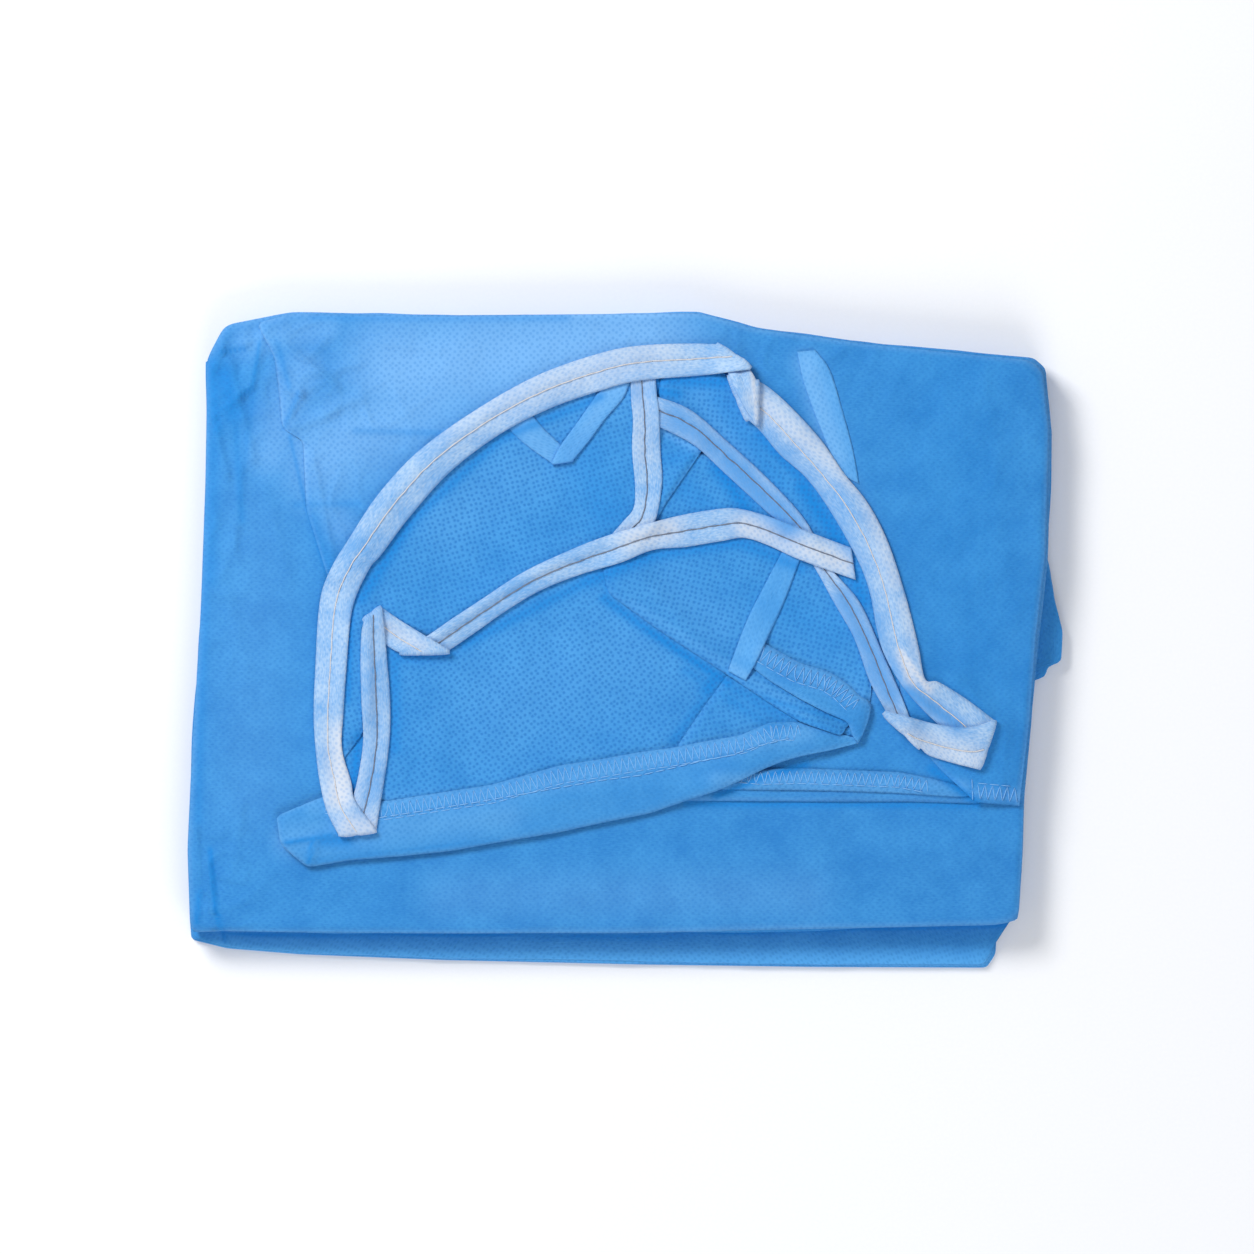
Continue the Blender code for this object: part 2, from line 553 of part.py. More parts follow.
def ribbon(name, runs, finish):
    """The tape as one body: a chain of cross-sections, turned over at each fold."""
    sections, upright = [], True
    for k, (across, height) in enumerate(runs):
        sections += [section(a, h, upright) for a, h in zip(across, height)]
        if k + 1 < len(runs):
            after = runs[k + 1][1][0]
            lower, upper = np.minimum(height[-1], after), np.maximum(height[-1], after)
            line = across[-1][2] - across[-1][0]
            outward = np.array([-line[1], line[0]]) / np.linalg.norm(line)
            if outward @ (across[-1][1] - across[-2][1]) < 0:
                outward = -outward
            rises = after[1] > height[-1][1]
            sections.append(crease(across[-1], outward, lower, upper, upright == rises))
            upright = not upright
    count = 6
    points = np.concatenate(sections)
    faces = [list(range(count)), list(range(len(points) - count, len(points)))[::-1]]
    for k in range(len(sections) - 1):
        for i in range(count):
            j = (i + 1) % count
            faces.append([k * count + i, (k + 1) * count + i, (k + 1) * count + j, k * count + j])
    return add_object(name, points, faces, finish)


def tape(name, table, support, finish):
    """A ribbon whose runs lie on each other in the order of its table."""
    runs = []
    for rows in table.values():
        across, height, support = run_on(rows, support)
        runs.append((across, height))
    ribbon(name, runs, finish)
    return support


def neck_binding(support, finish):
    """The binding and the neck tie together, because the tie lies between two runs of the binding."""
    found = {}
    for key in BINDING_ORDER:
        if key == "neck tie":
            support = tape("neck_tie", NECK_TIE, support, finish)
        else:
            across, height, support = run_on(BINDING[key], support)
            found[key] = (across, height)
    ribbon("neck_binding", [found[key] for key in BINDING], finish)
    return support


def main():
    clear_scene()
    cloth = material("gown_cloth", CLOTH_BLUE, 0.85)
    binding = material("binding_tape", TAPE_BLUE, 0.85)
    support = folded_stack(cloth)
    rim = edge_loop("upper", 0.8)
    support = cloth_panel("front_body", rim, 2.0, support, cloth, hole=NECK_OPENING)
    for name, outline, radius in (
        ("side_panel", SIDE_PANEL, 2.0),
        ("side_hem", SIDE_HEM, 1.5),
        ("left_sleeve", LEFT_SLEEVE, 2.0),
        ("left_sleeve_fold", LEFT_SLEEVE_FOLD, 1.5),
        ("left_sleeve_hem", LEFT_SLEEVE_HEM, 1.5),
        ("right_sleeve", RIGHT_SLEEVE, 2.0),
        ("right_sleeve_hem", RIGHT_SLEEVE_HEM, 1.5),
    ):
        support = cloth_panel(name, outline, radius, support, cloth)
    support = tape("waist_tie", WAIST_TIE, support, cloth)
    support = cloth_panel("left_back", LEFT_BACK, 4.0, support, cloth)
    support = tape("back_tie", BACK_TIE, support, cloth)
    support = cloth_panel("right_back", RIGHT_BACK, 4.0, support, cloth)
    support = cloth_panel("front_shoulder", SHOULDER, 3.0, support, cloth)
    support = tape("front_tie", FRONT_TIE, support, cloth)
    neck_binding(support, binding)


main()
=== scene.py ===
"""A disposable surgical gown folded flat: nonwoven cloth, a bound neck opening, ties and overlocked hems.

Each panel is a ruled sheet between its two cut edges. Its height comes from a pile: a grid of heights on
which the pieces are laid one after another, so that every piece rests on what is below it and spans the
steps. Tapes are profiles carried along a path, and turn over where the tape is folded. Lengths are
millimetres until a mesh is made.
"""

import bpy
import numpy as np
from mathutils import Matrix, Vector


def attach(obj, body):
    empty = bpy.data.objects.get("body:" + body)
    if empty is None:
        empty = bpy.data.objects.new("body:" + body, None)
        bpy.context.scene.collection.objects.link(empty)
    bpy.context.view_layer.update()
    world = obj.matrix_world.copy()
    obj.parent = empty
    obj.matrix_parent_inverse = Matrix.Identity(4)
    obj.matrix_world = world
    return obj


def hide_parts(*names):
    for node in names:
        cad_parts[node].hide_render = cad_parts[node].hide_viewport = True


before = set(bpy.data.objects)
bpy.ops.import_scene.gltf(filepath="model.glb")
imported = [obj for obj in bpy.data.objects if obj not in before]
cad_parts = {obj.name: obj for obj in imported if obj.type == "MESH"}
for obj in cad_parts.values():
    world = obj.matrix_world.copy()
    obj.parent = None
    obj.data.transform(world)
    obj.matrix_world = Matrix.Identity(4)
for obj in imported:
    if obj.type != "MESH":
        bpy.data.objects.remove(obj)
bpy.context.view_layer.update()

MM = 0.001
# Radians in a full turn.
FULL_TURN = 6.283

# The pile that the cloth is laid on: its grid, its crown, and its dip in the neck opening.
GRID = 0.75
HALF_LENGTH = 147.0
HALF_WIDTH = 110.0
STACK_TOP = 11.8
CROWN_RISE = 2.2
CROWN_RUN = 45.0
NECK_DIP = 3.2
NECK_X, NECK_Y = 5.0, 18.0
NECK_REACH_X, NECK_REACH_Y = 95.0, 72.0
NECK_SLOPE = 0.45

# The hidden plies: how far each is drawn in, how its edge wanders (size, wavelength, seed), and its rings.
PLIES = 15
BOTTOM_PLY_TOP = 3.0
SIDE_PLY_TOP = 5.4
PLY_INSET = 0.9
LOWEST_INSET = 0.2
ODD_PLY_INSET = 0.55
PLY_BULGE = 0.5
PLY_DRIFT = ((0.5, 90.0, 40), (0.15, 22.0, 70))
STACK_PITCH = 2.2
PACKET_GIRTH = 950.0
LEDGE_SHARES = (0.25, 0.5, 0.7, 0.8, 0.87, 0.93, 0.97)
TOP_SHARES = (0.985, 0.95, 0.9, 0.8, 0.65, 0.45, 0.2, 0.01)

# Cloth as it lies: thickness, rounded corners, pale turned edges, and slack (height, wavelength).
CLOTH = 0.35
LAYER = 1.35
EDGE_THICKNESS = 0.42
GAP = 0.12
PITCH = 1.25
RING_POINTS = 320
LINE_STEP = 0.5
CORNER = 1.2
PACKET_CORNER = 1.6
RIM_INSET = 0.8
RIM_SHARE = 0.3
RIM_WIDTH = 1.3
SLACK = ((0.16, 26.0), (0.05, 8.0))
WAVE_COUNT = 14
WAVE_SCALE = 4.5

# Tape as it lies: thickness, the groove that its seam pulls in, its fuzz and its folds.
TAPE = 1.35
TIE = 0.6
FLAT_TIE = 0.3
TAPE_PITCH = 1.0
TAPE_POINTS = 15
TAPE_EDGE = 0.6
TAPE_EASING = 6
GROOVE = 0.3
GROOVE_REACH = 1.1
PUCKER = 0.3
TAPE_FUZZ = 0.05
FUZZ_LENGTH = 5.0
FOLD_STEPS = 7
FOLD_PITCH = 0.4
TIGHTEST_FOLD = 0.04

# Stitching: the threads' radii, how far they stand out, the steps at which they are worked out, and the scale
# of their twist.
STITCH = 3.4
STITCH_SPACE = 0.5
THREAD = 0.19
THREAD_TIP = 0.35
SEAM_LIFT = 0.3
HOLE_LIFT = 0.1
WANDER = 0.08
WANDER_LENGTH = 7.0
LOCKSTITCH_STEP = 0.35
HEM_THREAD = 0.15
HEM_LIFT = 0.18
HEM_STEP = 0.8
LOOP_THREAD = 0.14
LOOP_PITCH = 2.4
LOOP_POINT = 0.97
LOOP_MARGIN = 0.5
LOOP_LIFT = 0.2
OVERLOCK_STEP = 0.3
THREAD_TWIST = 1250.0
# Share of the colour left in the painted shade of the grooves between a thread's plies.
PLY_GROOVE_PAINTED_SHADE = 0.8

# Cloth patterns: welded dots, streaks of fibre, faint clouds in the web, and how deep the face is.
WELD_PITCH = 1.7
WELD_TURN = 0.785
WELD_DISORDER = 0.42
WELD_RIM, WELD_CORE = 0.45, 0.1
WELD_PIT = 0.9
FIBRE_TURN = 0.4
FIBRE_STRETCH = (0.5, 2.6, 1.0)
CLOUD_PITCH = 14.0
FACE_STRENGTH = 0.7
FACE_RELIEF = 0.22
CLOTH_FINISHES = {
    # two shades of the web, welded dots and their strength, the pale colour (doubled cloth and painted
    # light), and the deep colour (painted shade, and on the tape the blue showing through)
    "cloth_outside": ("#2881ca", "#3c95d9", "#2076c6", 0.3, "#7ab6ee", "#0484d6"),
    # cloth_folds has a brighter, bluer pale colour: painted light on the lower ply, which lies in the shade
    # of the fold above it
    "cloth_folds": ("#2c87d0", "#409ade", "#1f76c4", 0.3, "#5ab2f6", "#0484d6"),
    "cloth_inside": ("#2f89d1", "#429ade", "#1b72c1", 0.62, "#62adec", "#0484d6"),
    "cloth_hem": ("#3189d1", "#4499db", "#2b7fc6", 0.38, "#6cb1ea", "#0484d6"),
    "tie_strip": ("#499be0", "#5eabe9", "#3d8dd4", 0.35, "#86c0f3", "#0484d6"),
    "binding_tape": ("#6ca7e1", "#b4d0ec", "#6ba1d9", 0.34, "#d2dae6", "#559cdf"),
}

# Camera and light, in metres and watts. The camera looks straight down.
CAMERA_X = 0.00033
CAMERA_Y = 0.00433
CAMERA_HEIGHT = 2.4
CAMERA_LENS = 205.5
FLOOR_HALF = 3.0
ROOM_LIGHT = 0.42
LAMPS = [
    # name, place, size, watts
    ("key_lamp", (-0.65, 0.7, 0.95), 0.5, 13.5),
    ("fill_lamp", (0.3, -1.2, 1.0), 1.0, 9.5),
]

xs = np.arange(-HALF_LENGTH - 5.0, HALF_LENGTH + 5.0, GRID)
ys = np.arange(-HALF_WIDTH - 5.0, HALF_WIDTH + 5.0, GRID)
GRID_X, GRID_Y = np.meshgrid(xs, ys, indexing="ij")

# The packet's edge, clockwise from the top left corner: x and y of the upper plies, then how far the bottom
# ply and the side ply stand out from them there.
EDGE = np.array([
    # x, y, bottom dx, bottom dy, side dx, side dy
    (-140.5, 94, 1, 0, 0.5, 0),
    (-134.5, 105.5, 1, -1, 0, -1.5),
    (-112, 110, 0, -1, 0, -2),
    (-62, 109, 0, -1, 0, -0.5),
    (-8.5, 109.5, 0, -2, 0, -0.5),
    (24.5, 110, 0, -2.5, 0, -2),
    (43, 105, 0, -1, 0, -0.5),
    (83, 99.5, 0, -1.5, 0, -0.5),
    (136.5, 94.5, -3, -2, -1.5, -1.5),
    (140.5, 91, -3, -2, -1, -1),
    (142.5, 70, -3.5, 0, -0.5, 0),
    (141.5, 28, -4, 0, 0.5, 0),
    (140, 13, -4, 0, 4.5, 0),
    (138.5, 3, -3.5, 0, 8.5, 0),
    (137.5, -7.5, -3.5, 0, 9, 0),
    (137.3, -9, -3.5, 0, 4.6, 0),
    (137, -12.5, -3.5, 0, 4.4, 0),
    (136.8, -14, -3.5, 0, -0.5, 0),
    (136, -27, -4, 0, -0.5, 0),
    (133.5, -53, -4.5, -2, 0, 0),
    (133, -70, -7.5, -12, -0.5, 0),
    (131.5, -94, -7.5, -11.5, -1, 0),
    (124, -95.5, -3, -14.5, 0, 0.5),
    (62.5, -97, 0, -12.8, 0, 0.5),
    (4.5, -98.5, 0, -10.5, 0, 1),
    (-60.5, -98.5, 0, -9, 0, 0.5),
    (-110, -98, 0, -7.5, 0, 0.5),
    (-135, -97.5, 1, -6, 0.5, 0.5),
    (-146, -98, 0, -2.5, 1, 1),
    (-147, -70, 0.5, 0, 1, 0),
    (-145.5, -37, 1, 0, 0.5, 0),
    (-143.5, -7, 1, 0, 1.5, 0),
    (-142.5, 13, 0.5, 0, 1, 0),
    (-141, 53, 1, 0, 0.5, 0),
    (-140.5, 81, 1, 0, 0, 0),
])

NECK_OPENING = [
    (-84, 48), (-60, 75), (-30, 94), (4.5, 101), (31, 98), (62, 90), (93, 62),
    (106, 27), (106, -24), (85, -34), (58, -36), (31, -43), (4.5, -50), (-62, -62),
    (-90, -59), (-96, -50), (-98.5, -37), (-99, -20), (-98.7, -3), (-98, 14),
]

# Straight stitching that holds the hems down.
LEFT_HEM_SEAM = [
    (-98, -61.5), (-75, -58), (-50, -54), (-22, -49), (-8.7, -46.7), (4.7, -45), (12.3, -43.3),
    (24.7, -40.3), (34.7, -38.3), (44.7, -35), (58, -31.7),
]
SHOULDER_SEAM = [(115.3, -53.3), (115, -43.5)]
SHOULDER_HEM = [(116.5, -53.6), (130.4, -54.9)]

# Each panel's two edges, both followed the same way. Margins lie under their neighbours.
SIDE_PANEL = (
    [(20, -53.5), (60, -53.8), (95, -53.8), (117, -54.5), (126, -52)],
    [(24, -46), (40, -36), (58, -24), (78, -17), (92, -12), (112, -12), (128, -30)],
)
SIDE_HEM = (
    [(24.7, -47.8), (30.7, -49.7), (58, -50), (74.7, -50.3), (91.3, -51), (111.3, -52.3), (116.5, -51.5)],
    [(34, -42), (44.7, -43), (58, -42.7), (74.7, -43.3), (91.3, -44), (101.3, -46), (116.5, -50)],
)
LEFT_SLEEVE = (
    [(-116, -60), (-114.4, -67.9), (-106, -74.8), (-75.3, -71.2), (-42, -66.5), (-8.7, -60.2),
     (20.4, -52.6), (30.4, -49.2), (46, -42), (58, -38), (76, -33.8)],
    [(-108.7, -56.2), (-95, -50), (-95, -10), (-92, 8), (-76, 14), (-62, 10), (-40, 22),
     (-12, 32), (6, 24), (24, 2), (45, -18), (71, -29.5), (79, -24)],
)
LEFT_SLEEVE_FOLD = (
    [(33.5, -12), (24.7, -24), (18, -34), (14, -40.5)],
    [(50, -14), (62, -21), (70, -30), (68, -34)],
)
LEFT_SLEEVE_HEM = (
    [(-116.3, -59.3), (-115, -68.3), (-106, -75.7), (-92, -73.3), (-75.3, -72), (-58.7, -70.3),
     (-42, -67.3), (-22, -64), (-8.7, -61), (8, -57.7), (20.7, -53.3), (30.7, -50), (38, -46.7),
     (46.3, -42.7), (51.3, -40.7), (58, -38.7), (68, -36.7), (77.3, -34.3)],
    [(-115, -58), (-108.7, -55.3), (-99.7, -51.7), (-80.3, -53.7), (-58.7, -50.3), (-45.3, -48.3),
     (-22, -41.7), (-8.7, -39.7), (4.7, -37.3), (14.7, -36), (24.7, -34), (38, -31.7), (48, -27.3),
     (58, -27.3), (68, -30.4), (76.5, -32.6)],
)
RIGHT_SLEEVE = (
    [(-7.7, 23.7), (-6, 15.7), (8, 5.3), (16.3, -0.3), (24.7, -5.7), (36.3, -13.3), (49.7, -22.3),
     (58, -27.3), (63, -29), (72, -32), (73.3, -28.5), (78.5, -26.5)],
    [(2, 36), (10, 46), (20, 64), (30, 61), (46, 46), (62, 30), (72, 14), (78, 0),
     (82, -11), (81.5, -19), (80, -24)],
)
RIGHT_SLEEVE_HEM = (
    [(40, -7.5), (48, -13.7), (58, -19.7), (66.3, -24), (74, -27.3), (75, -31.7), (77.3, -34.3)],
    [(43.5, 0.5), (53, -5), (58, -7.7), (68, -10.7), (73, -14), (78.7, -19.5), (82, -20.5),
     (80.7, -26.7), (78.7, -31.7)],
)
LEFT_BACK = (
    [(-94.3, -40), (-87.5, -31), (-84, -20), (-84.5, 5), (-80, 6.5), (-62, -0.5), (-42, 14.3),
     (-22, 24.5), (-8.5, 30.3), (8, 35), (12.7, 44.7), (24.2, 61.5)],
    [(-98.6, -20), (-98.3, -3), (-97, 14), (-90, 32), (-78, 49), (-62, 65), (-42, 79),
     (-22, 88), (0, 93), (13, 88), (23, 74), (27, 65.5)],
)
RIGHT_BACK = (
    [(10, 77.5), (21, 70), (31.5, 62.7), (44.5, 51.7), (56.5, 38.5), (69, 21.7), (78, 5),
     (84.7, -10), (90, -23), (95, -29)],
    [(12, 90), (30, 91), (44, 84), (58, 72), (71, 56), (84, 36), (94, 16),
     (99, -4), (101, -24)],
)
SHOULDER = (
    [(-99.5, 21.5), (-106.5, 43.5), (-107.5, 66.5), (-114.5, 70.5), (-115.5, 82.5), (-117, 94),
     (-123, 105.5), (-112, 108.6), (-62, 107.8), (-8.5, 108.3), (24.3, 108.8), (42.8, 103.7),
     (82.8, 98.3), (134.5, 93.2), (139, 90), (141, 70), (139.8, 28), (136.6, 0), (134.5, -27),
     (131, -55.3)],
    [(-93.5, 17), (-85.5, 30), (-75.5, 45.7), (-58.5, 63.3), (-42, 75.3), (-25.5, 83.7), (-8.5, 89.3),
     (4.5, 92), (24.5, 93), (31.5, 92.5), (42, 82), (48, 75), (58, 64.5), (68, 53.5),
     (74.5, 40), (81.5, 28.5), (86.5, 17), (90.5, 0), (91, -15), (92.5, -29), (104.5, -43),
     (116.3, -54)],
)

# Tapes: the two edges at each row. A run ends on the crease where the tape turns over, and the runs stand in
# the tape's own order, so edge one stays edge one along the whole tape.
BINDING = {
    # edge one x, y, edge two x, y
    "back_right": [
        (9, 81.5, 10, 71.5), (21.5, 76.5, 22.5, 65), (34.5, 65.5, 33, 55.5), (48.5, 52.5, 46, 43.5),
        (60, 39.5, 57, 33), (67.5, 25, 63.5, 23), (77.5, 13, 69, 13), (84.5, -2, 76, 0.5),
        (92.5, -21, 81, -13.5), (98, -36, 86.3, -23.5),
    ],
    "right_return": [
        (98, -36, 86.3, -23.5), (101, -38.5, 94, -25.5), (109, -41, 103.5, -28),
        (115, -42.5, 114, -29), (117, -43, 122.3, -26.5),
    ],
    "right_arc": [
        (117, -43, 122.3, -26.5), (109.5, -33.5, 113, -19.5), (99.5, -24, 104, -14),
        (92, -15.5, 99.5, -13), (86, -5, 97.5, -3.3), (83.5, 3.5, 96, 3.3), (81, 16.5, 92.5, 16.5),
        (76.5, 28, 87, 33), (68, 43, 80.5, 45.5), (60, 54, 72.5, 55.5), (51.5, 61.5, 64.5, 67),
        (46.5, 67.5, 53, 79.3), (43.7, 70.6, 44, 86.2), (41, 73, 34.5, 88.5),
    ],
    "pleat": [
        (41, 73, 34.5, 88.5), (43, 71.3, 43.2, 86.6),
    ],
    "crown_turn": [
        (43, 71.3, 43.2, 86.6), (37.5, 80.5, 42.3, 88.3), (30, 98.5, 41.3, 89.9),
    ],
    "arc": [
        (30, 98.5, 41.3, 89.9), (20, 98.7, 24.5, 88), (4.5, 98, 4.5, 86.3), (-8.5, 95.5, -8.5, 83),
        (-28.5, 88.5, -25.5, 77), (-48.5, 77.5, -42, 68.5), (-68.5, 63.3, -58.5, 56),
        (-82, 49, -72, 41), (-92, 34, -81.5, 28.3), (-98.3, 23.5, -85.5, 23.5),
        (-102, 12.5, -91, 10.5), (-103.5, -10, -93, -10), (-104, -25, -94, -24.5),
        (-103.3, -37, -94.5, -36), (-102, -47, -91.5, -47), (-99.5, -57, -90, -53.5),
        (-95.7, -64.5, -83, -63),
    ],
    "left_leg": [
        (-95.7, -64.5, -83, -63), (-92.5, -57, -82, -56.5), (-89.5, -47, -80.5, -47),
        (-87.5, -33.5, -78.7, -33.5), (-88, -20, -78.5, -20), (-88.3, -6.5, -79.5, -6.5),
        (-88, 2, -80.3, 4), (-87.3, 6, -81, 10.7),
    ],
    "left_turn": [
        (-87.3, 6, -81, 10.7), (-80.5, -1, -75, 6.5), (-77.5, -3.2, -68.5, 2.5), (-75.5, -4.2, -58.7, -3.3),
    ],
    "back_left": [
        (-75.5, -4.2, -58.7, -3.3), (-66, 1.5, -55, -0.8), (-58.5, 6.7, -48.5, 3.7), (-48.5, 13.3, -39.5, 10),
        (-35.3, 22, -28.5, 16.5), (-22, 28.5, -15.5, 21.7), (-8.5, 34, -2, 25.7), (4.5, 38, 9, 30),
        (18, 41.5, 20, 31), (31, 43.7, 32, 33), (38, 43.7, 39.5, 34), (48, 41, 47.5, 31.5),
        (61, 36, 58, 26.7), (75, 30.7, 76.5, 20),
    ],
}
# The ties, given likewise: each has one run or two.
TIES = {
    "neck_tie": [[
        (1.5, 88.5, 9.7, 89.5), (1.7, 80, 10.3, 81.5), (2.3, 73, 11, 75), (2, 63, 11.5, 63),
        (3, 51.5, 12, 52), (2.5, 44, 9.5, 39), (-1, 39.5, 4.5, 33), (-4.5, 35.5, 1, 29),
    ]],
    "waist_tie": [[
        (53, 31.5, 59.5, 29), (51.5, 28.5, 57.7, 26), (45.5, 17, 53, 13.5), (40.5, 7, 48, 2.5),
        (35.7, -5.5, 43, -8), (34, -10.3, 39.8, -13.5),
    ]],
    "back_tie": [[
        (-40, 72, -32.5, 76.5), (-37.5, 68.8, -27, 70), (-32, 64, -21.5, 64.7), (-24.8, 59, -17.5, 60),
    ], [
        (-24.8, 59, -17.5, 60), (-22, 64.5, -12, 66.7), (-15.5, 73.5, -7, 73.5), (-9, 83, -1, 80.5),
        (-7, 87.5, 1.3, 86),
    ]],
    "front_tie": [[
        (57, 96, 63, 96.5), (59, 86.5, 68, 89.5), (63, 75, 72, 76.5), (67.5, 63.5, 75.5, 63.5),
        (70.5, 55.5, 77.5, 52),
    ]],
}

# The tapes round the neck from the bottom up: where the seam runs across the tape, and its thread.
SEAMS = {
    "back_right": (0.45, "grey"),
    "neck_tie": (0.45, "grey"),
    "back_left": (0.5, "grey"),
    "left_turn": (0.45, "ecru"),
    "left_leg": (0.52, "grey"),
    "right_arc": (0.45, "ecru"),
    "right_return": (0.4, "ecru"),
    "pleat": (0.5, None),
    "crown_turn": (0.5, None),
    "arc": (0.48, "ecru"),
}

# Where a tape lies double and shows whiter, and where it shows deeper blue: partly the blue beneath showing
# through a single layer, partly painted shade along the tapes' inner edges and on the back binding in the
# opening. Both ends of a line, the reach to its sides and the share.
TAPE_PALE = [
    # x0, y0, x1, y1, reach, share
    (-94, -32, -95, -52, 5, 1),
    (-92, -62, -84, -63, 5, 0.7),
    (2, 34, 14, 37, 5, 0.75),
    (40, 38, 73, 25.5, 4.5, 0.8),
    (93, -33, 116, -40, 5, 0.6),
    (4, 84, 5, 62, 4, 0.3),
    (92, -6, 95, -14, 2, 0.9),
    (-60, 76, 10, 97, 9, 0.45),
    (-79, 4, -68, -2, 2.5, 0.5),
    (91.3, -4, 100.7, -16.7, 1.3, 1),
    (42, 89, 43.5, 73, 0.8, 0.9),
    (44, 80, 80, 50, 4, 0.6),
    (80, 50, 90, 20, 4, 0.45),
    (93, 12, 101, -14, 3, 0.4),
]
# Deeper blue on the tape: partly the blue beneath a single layer, partly painted shade.
TAPE_SHOW_THROUGH_AND_PAINTED_SHADE = [
    # x0, y0, x1, y1, reach, share
    (16, 74, 34, 61, 5, 0.8),
    (34, 60, 54, 38, 5.5, 0.95),
    (72, 14, 88, -18, 4.5, 0.85),
    (93.5, -17, 110, -28, 3, 1),
    (-84, 20, -84, -50, 4, 0.3),
    (24.5, 87, -25.5, 76, 2.8, 0.42),
    (-25.5, 76, -58.5, 55, 2.8, 0.42),
    (-58.5, 55, -81.5, 27.3, 2.8, 0.42),
    (-81.5, 27.3, -92, 8, 2.8, 0.42),
    (46, 68, 60, 53.5, 3, 0.55),
    (60, 53.5, 76.5, 28, 3, 0.55),
    (76.5, 28, 83.5, 3.5, 3, 0.55),
    (83.5, 3.5, 91, -14, 2.4, 0.55),
]

# Where the cloth shows paler: painted light where it lies up to the light, and real paleness where hems lie
# double. Painted shade in creases, crevices and under edges, its bright blue standing in for light that has
# passed through other layers: given likewise.
CLOTH_DOUBLED_AND_PAINTED_LIGHT = [
    # x0, y0, x1, y1, reach, share
    (-75, 90, 5, 101, 20, 0.85),
    (-100, 62, -60, 85, 17, 0.7),
    (-118, 62, -108, 90, 9, 0.5),
    (-125, 100, -100, 104, 7, 0.45),
    (-103, 50, -95, 38, 7, 0.4),
    (60, 92, 70, 60, 4.5, 0.45),
    (70, 60, 82, 30, 4, 0.25),
    (-112, -66, -40, -58, 6, 0.35),
    (-60, -85, 60, -85, 9, 0.15),
    (-40, -20, 0, -5, 22, 0.25),
    (46, -5, 79, -19, 3.6, 0.3),
    (-126, -50, -122, 50, 18, 0.12),
    (-60, 40, -22, 66, 13, 0.3),
    (15, 15, 30, 5, 10, 0.2),
    (2, 12.5, 34, -8.5, 1.8, 0.35),
    (34, -8.5, 60, -24.5, 1.8, 0.3),
    (-104, -56, -45, -52, 3.2, 0.3),
    (-45, -52, 24, -37, 3.4, 0.35),
    (24, -37, 60, -31, 3.2, 0.4),
    (30, -46.3, 112, -49, 2.6, 0.4),
    (116, -51, 130, -52, 2.2, 0.35),
    (11.5, 70.5, 26, 62, 1.5, 0.7),
    (23, 86, 40, 60, 4.5, 0.35),
    # Painted light on the lower ply, which lies in the shade of the fold above it.
    (-136, -104, 0, -106.5, 4, 0.75),
    (0, -106.5, 124, -108, 4.4, 0.75),
    (-37, 72, -24, 60.5, 3.5, 0.35),
    (-18, 62, -6, 82, 4, 0.4),
]
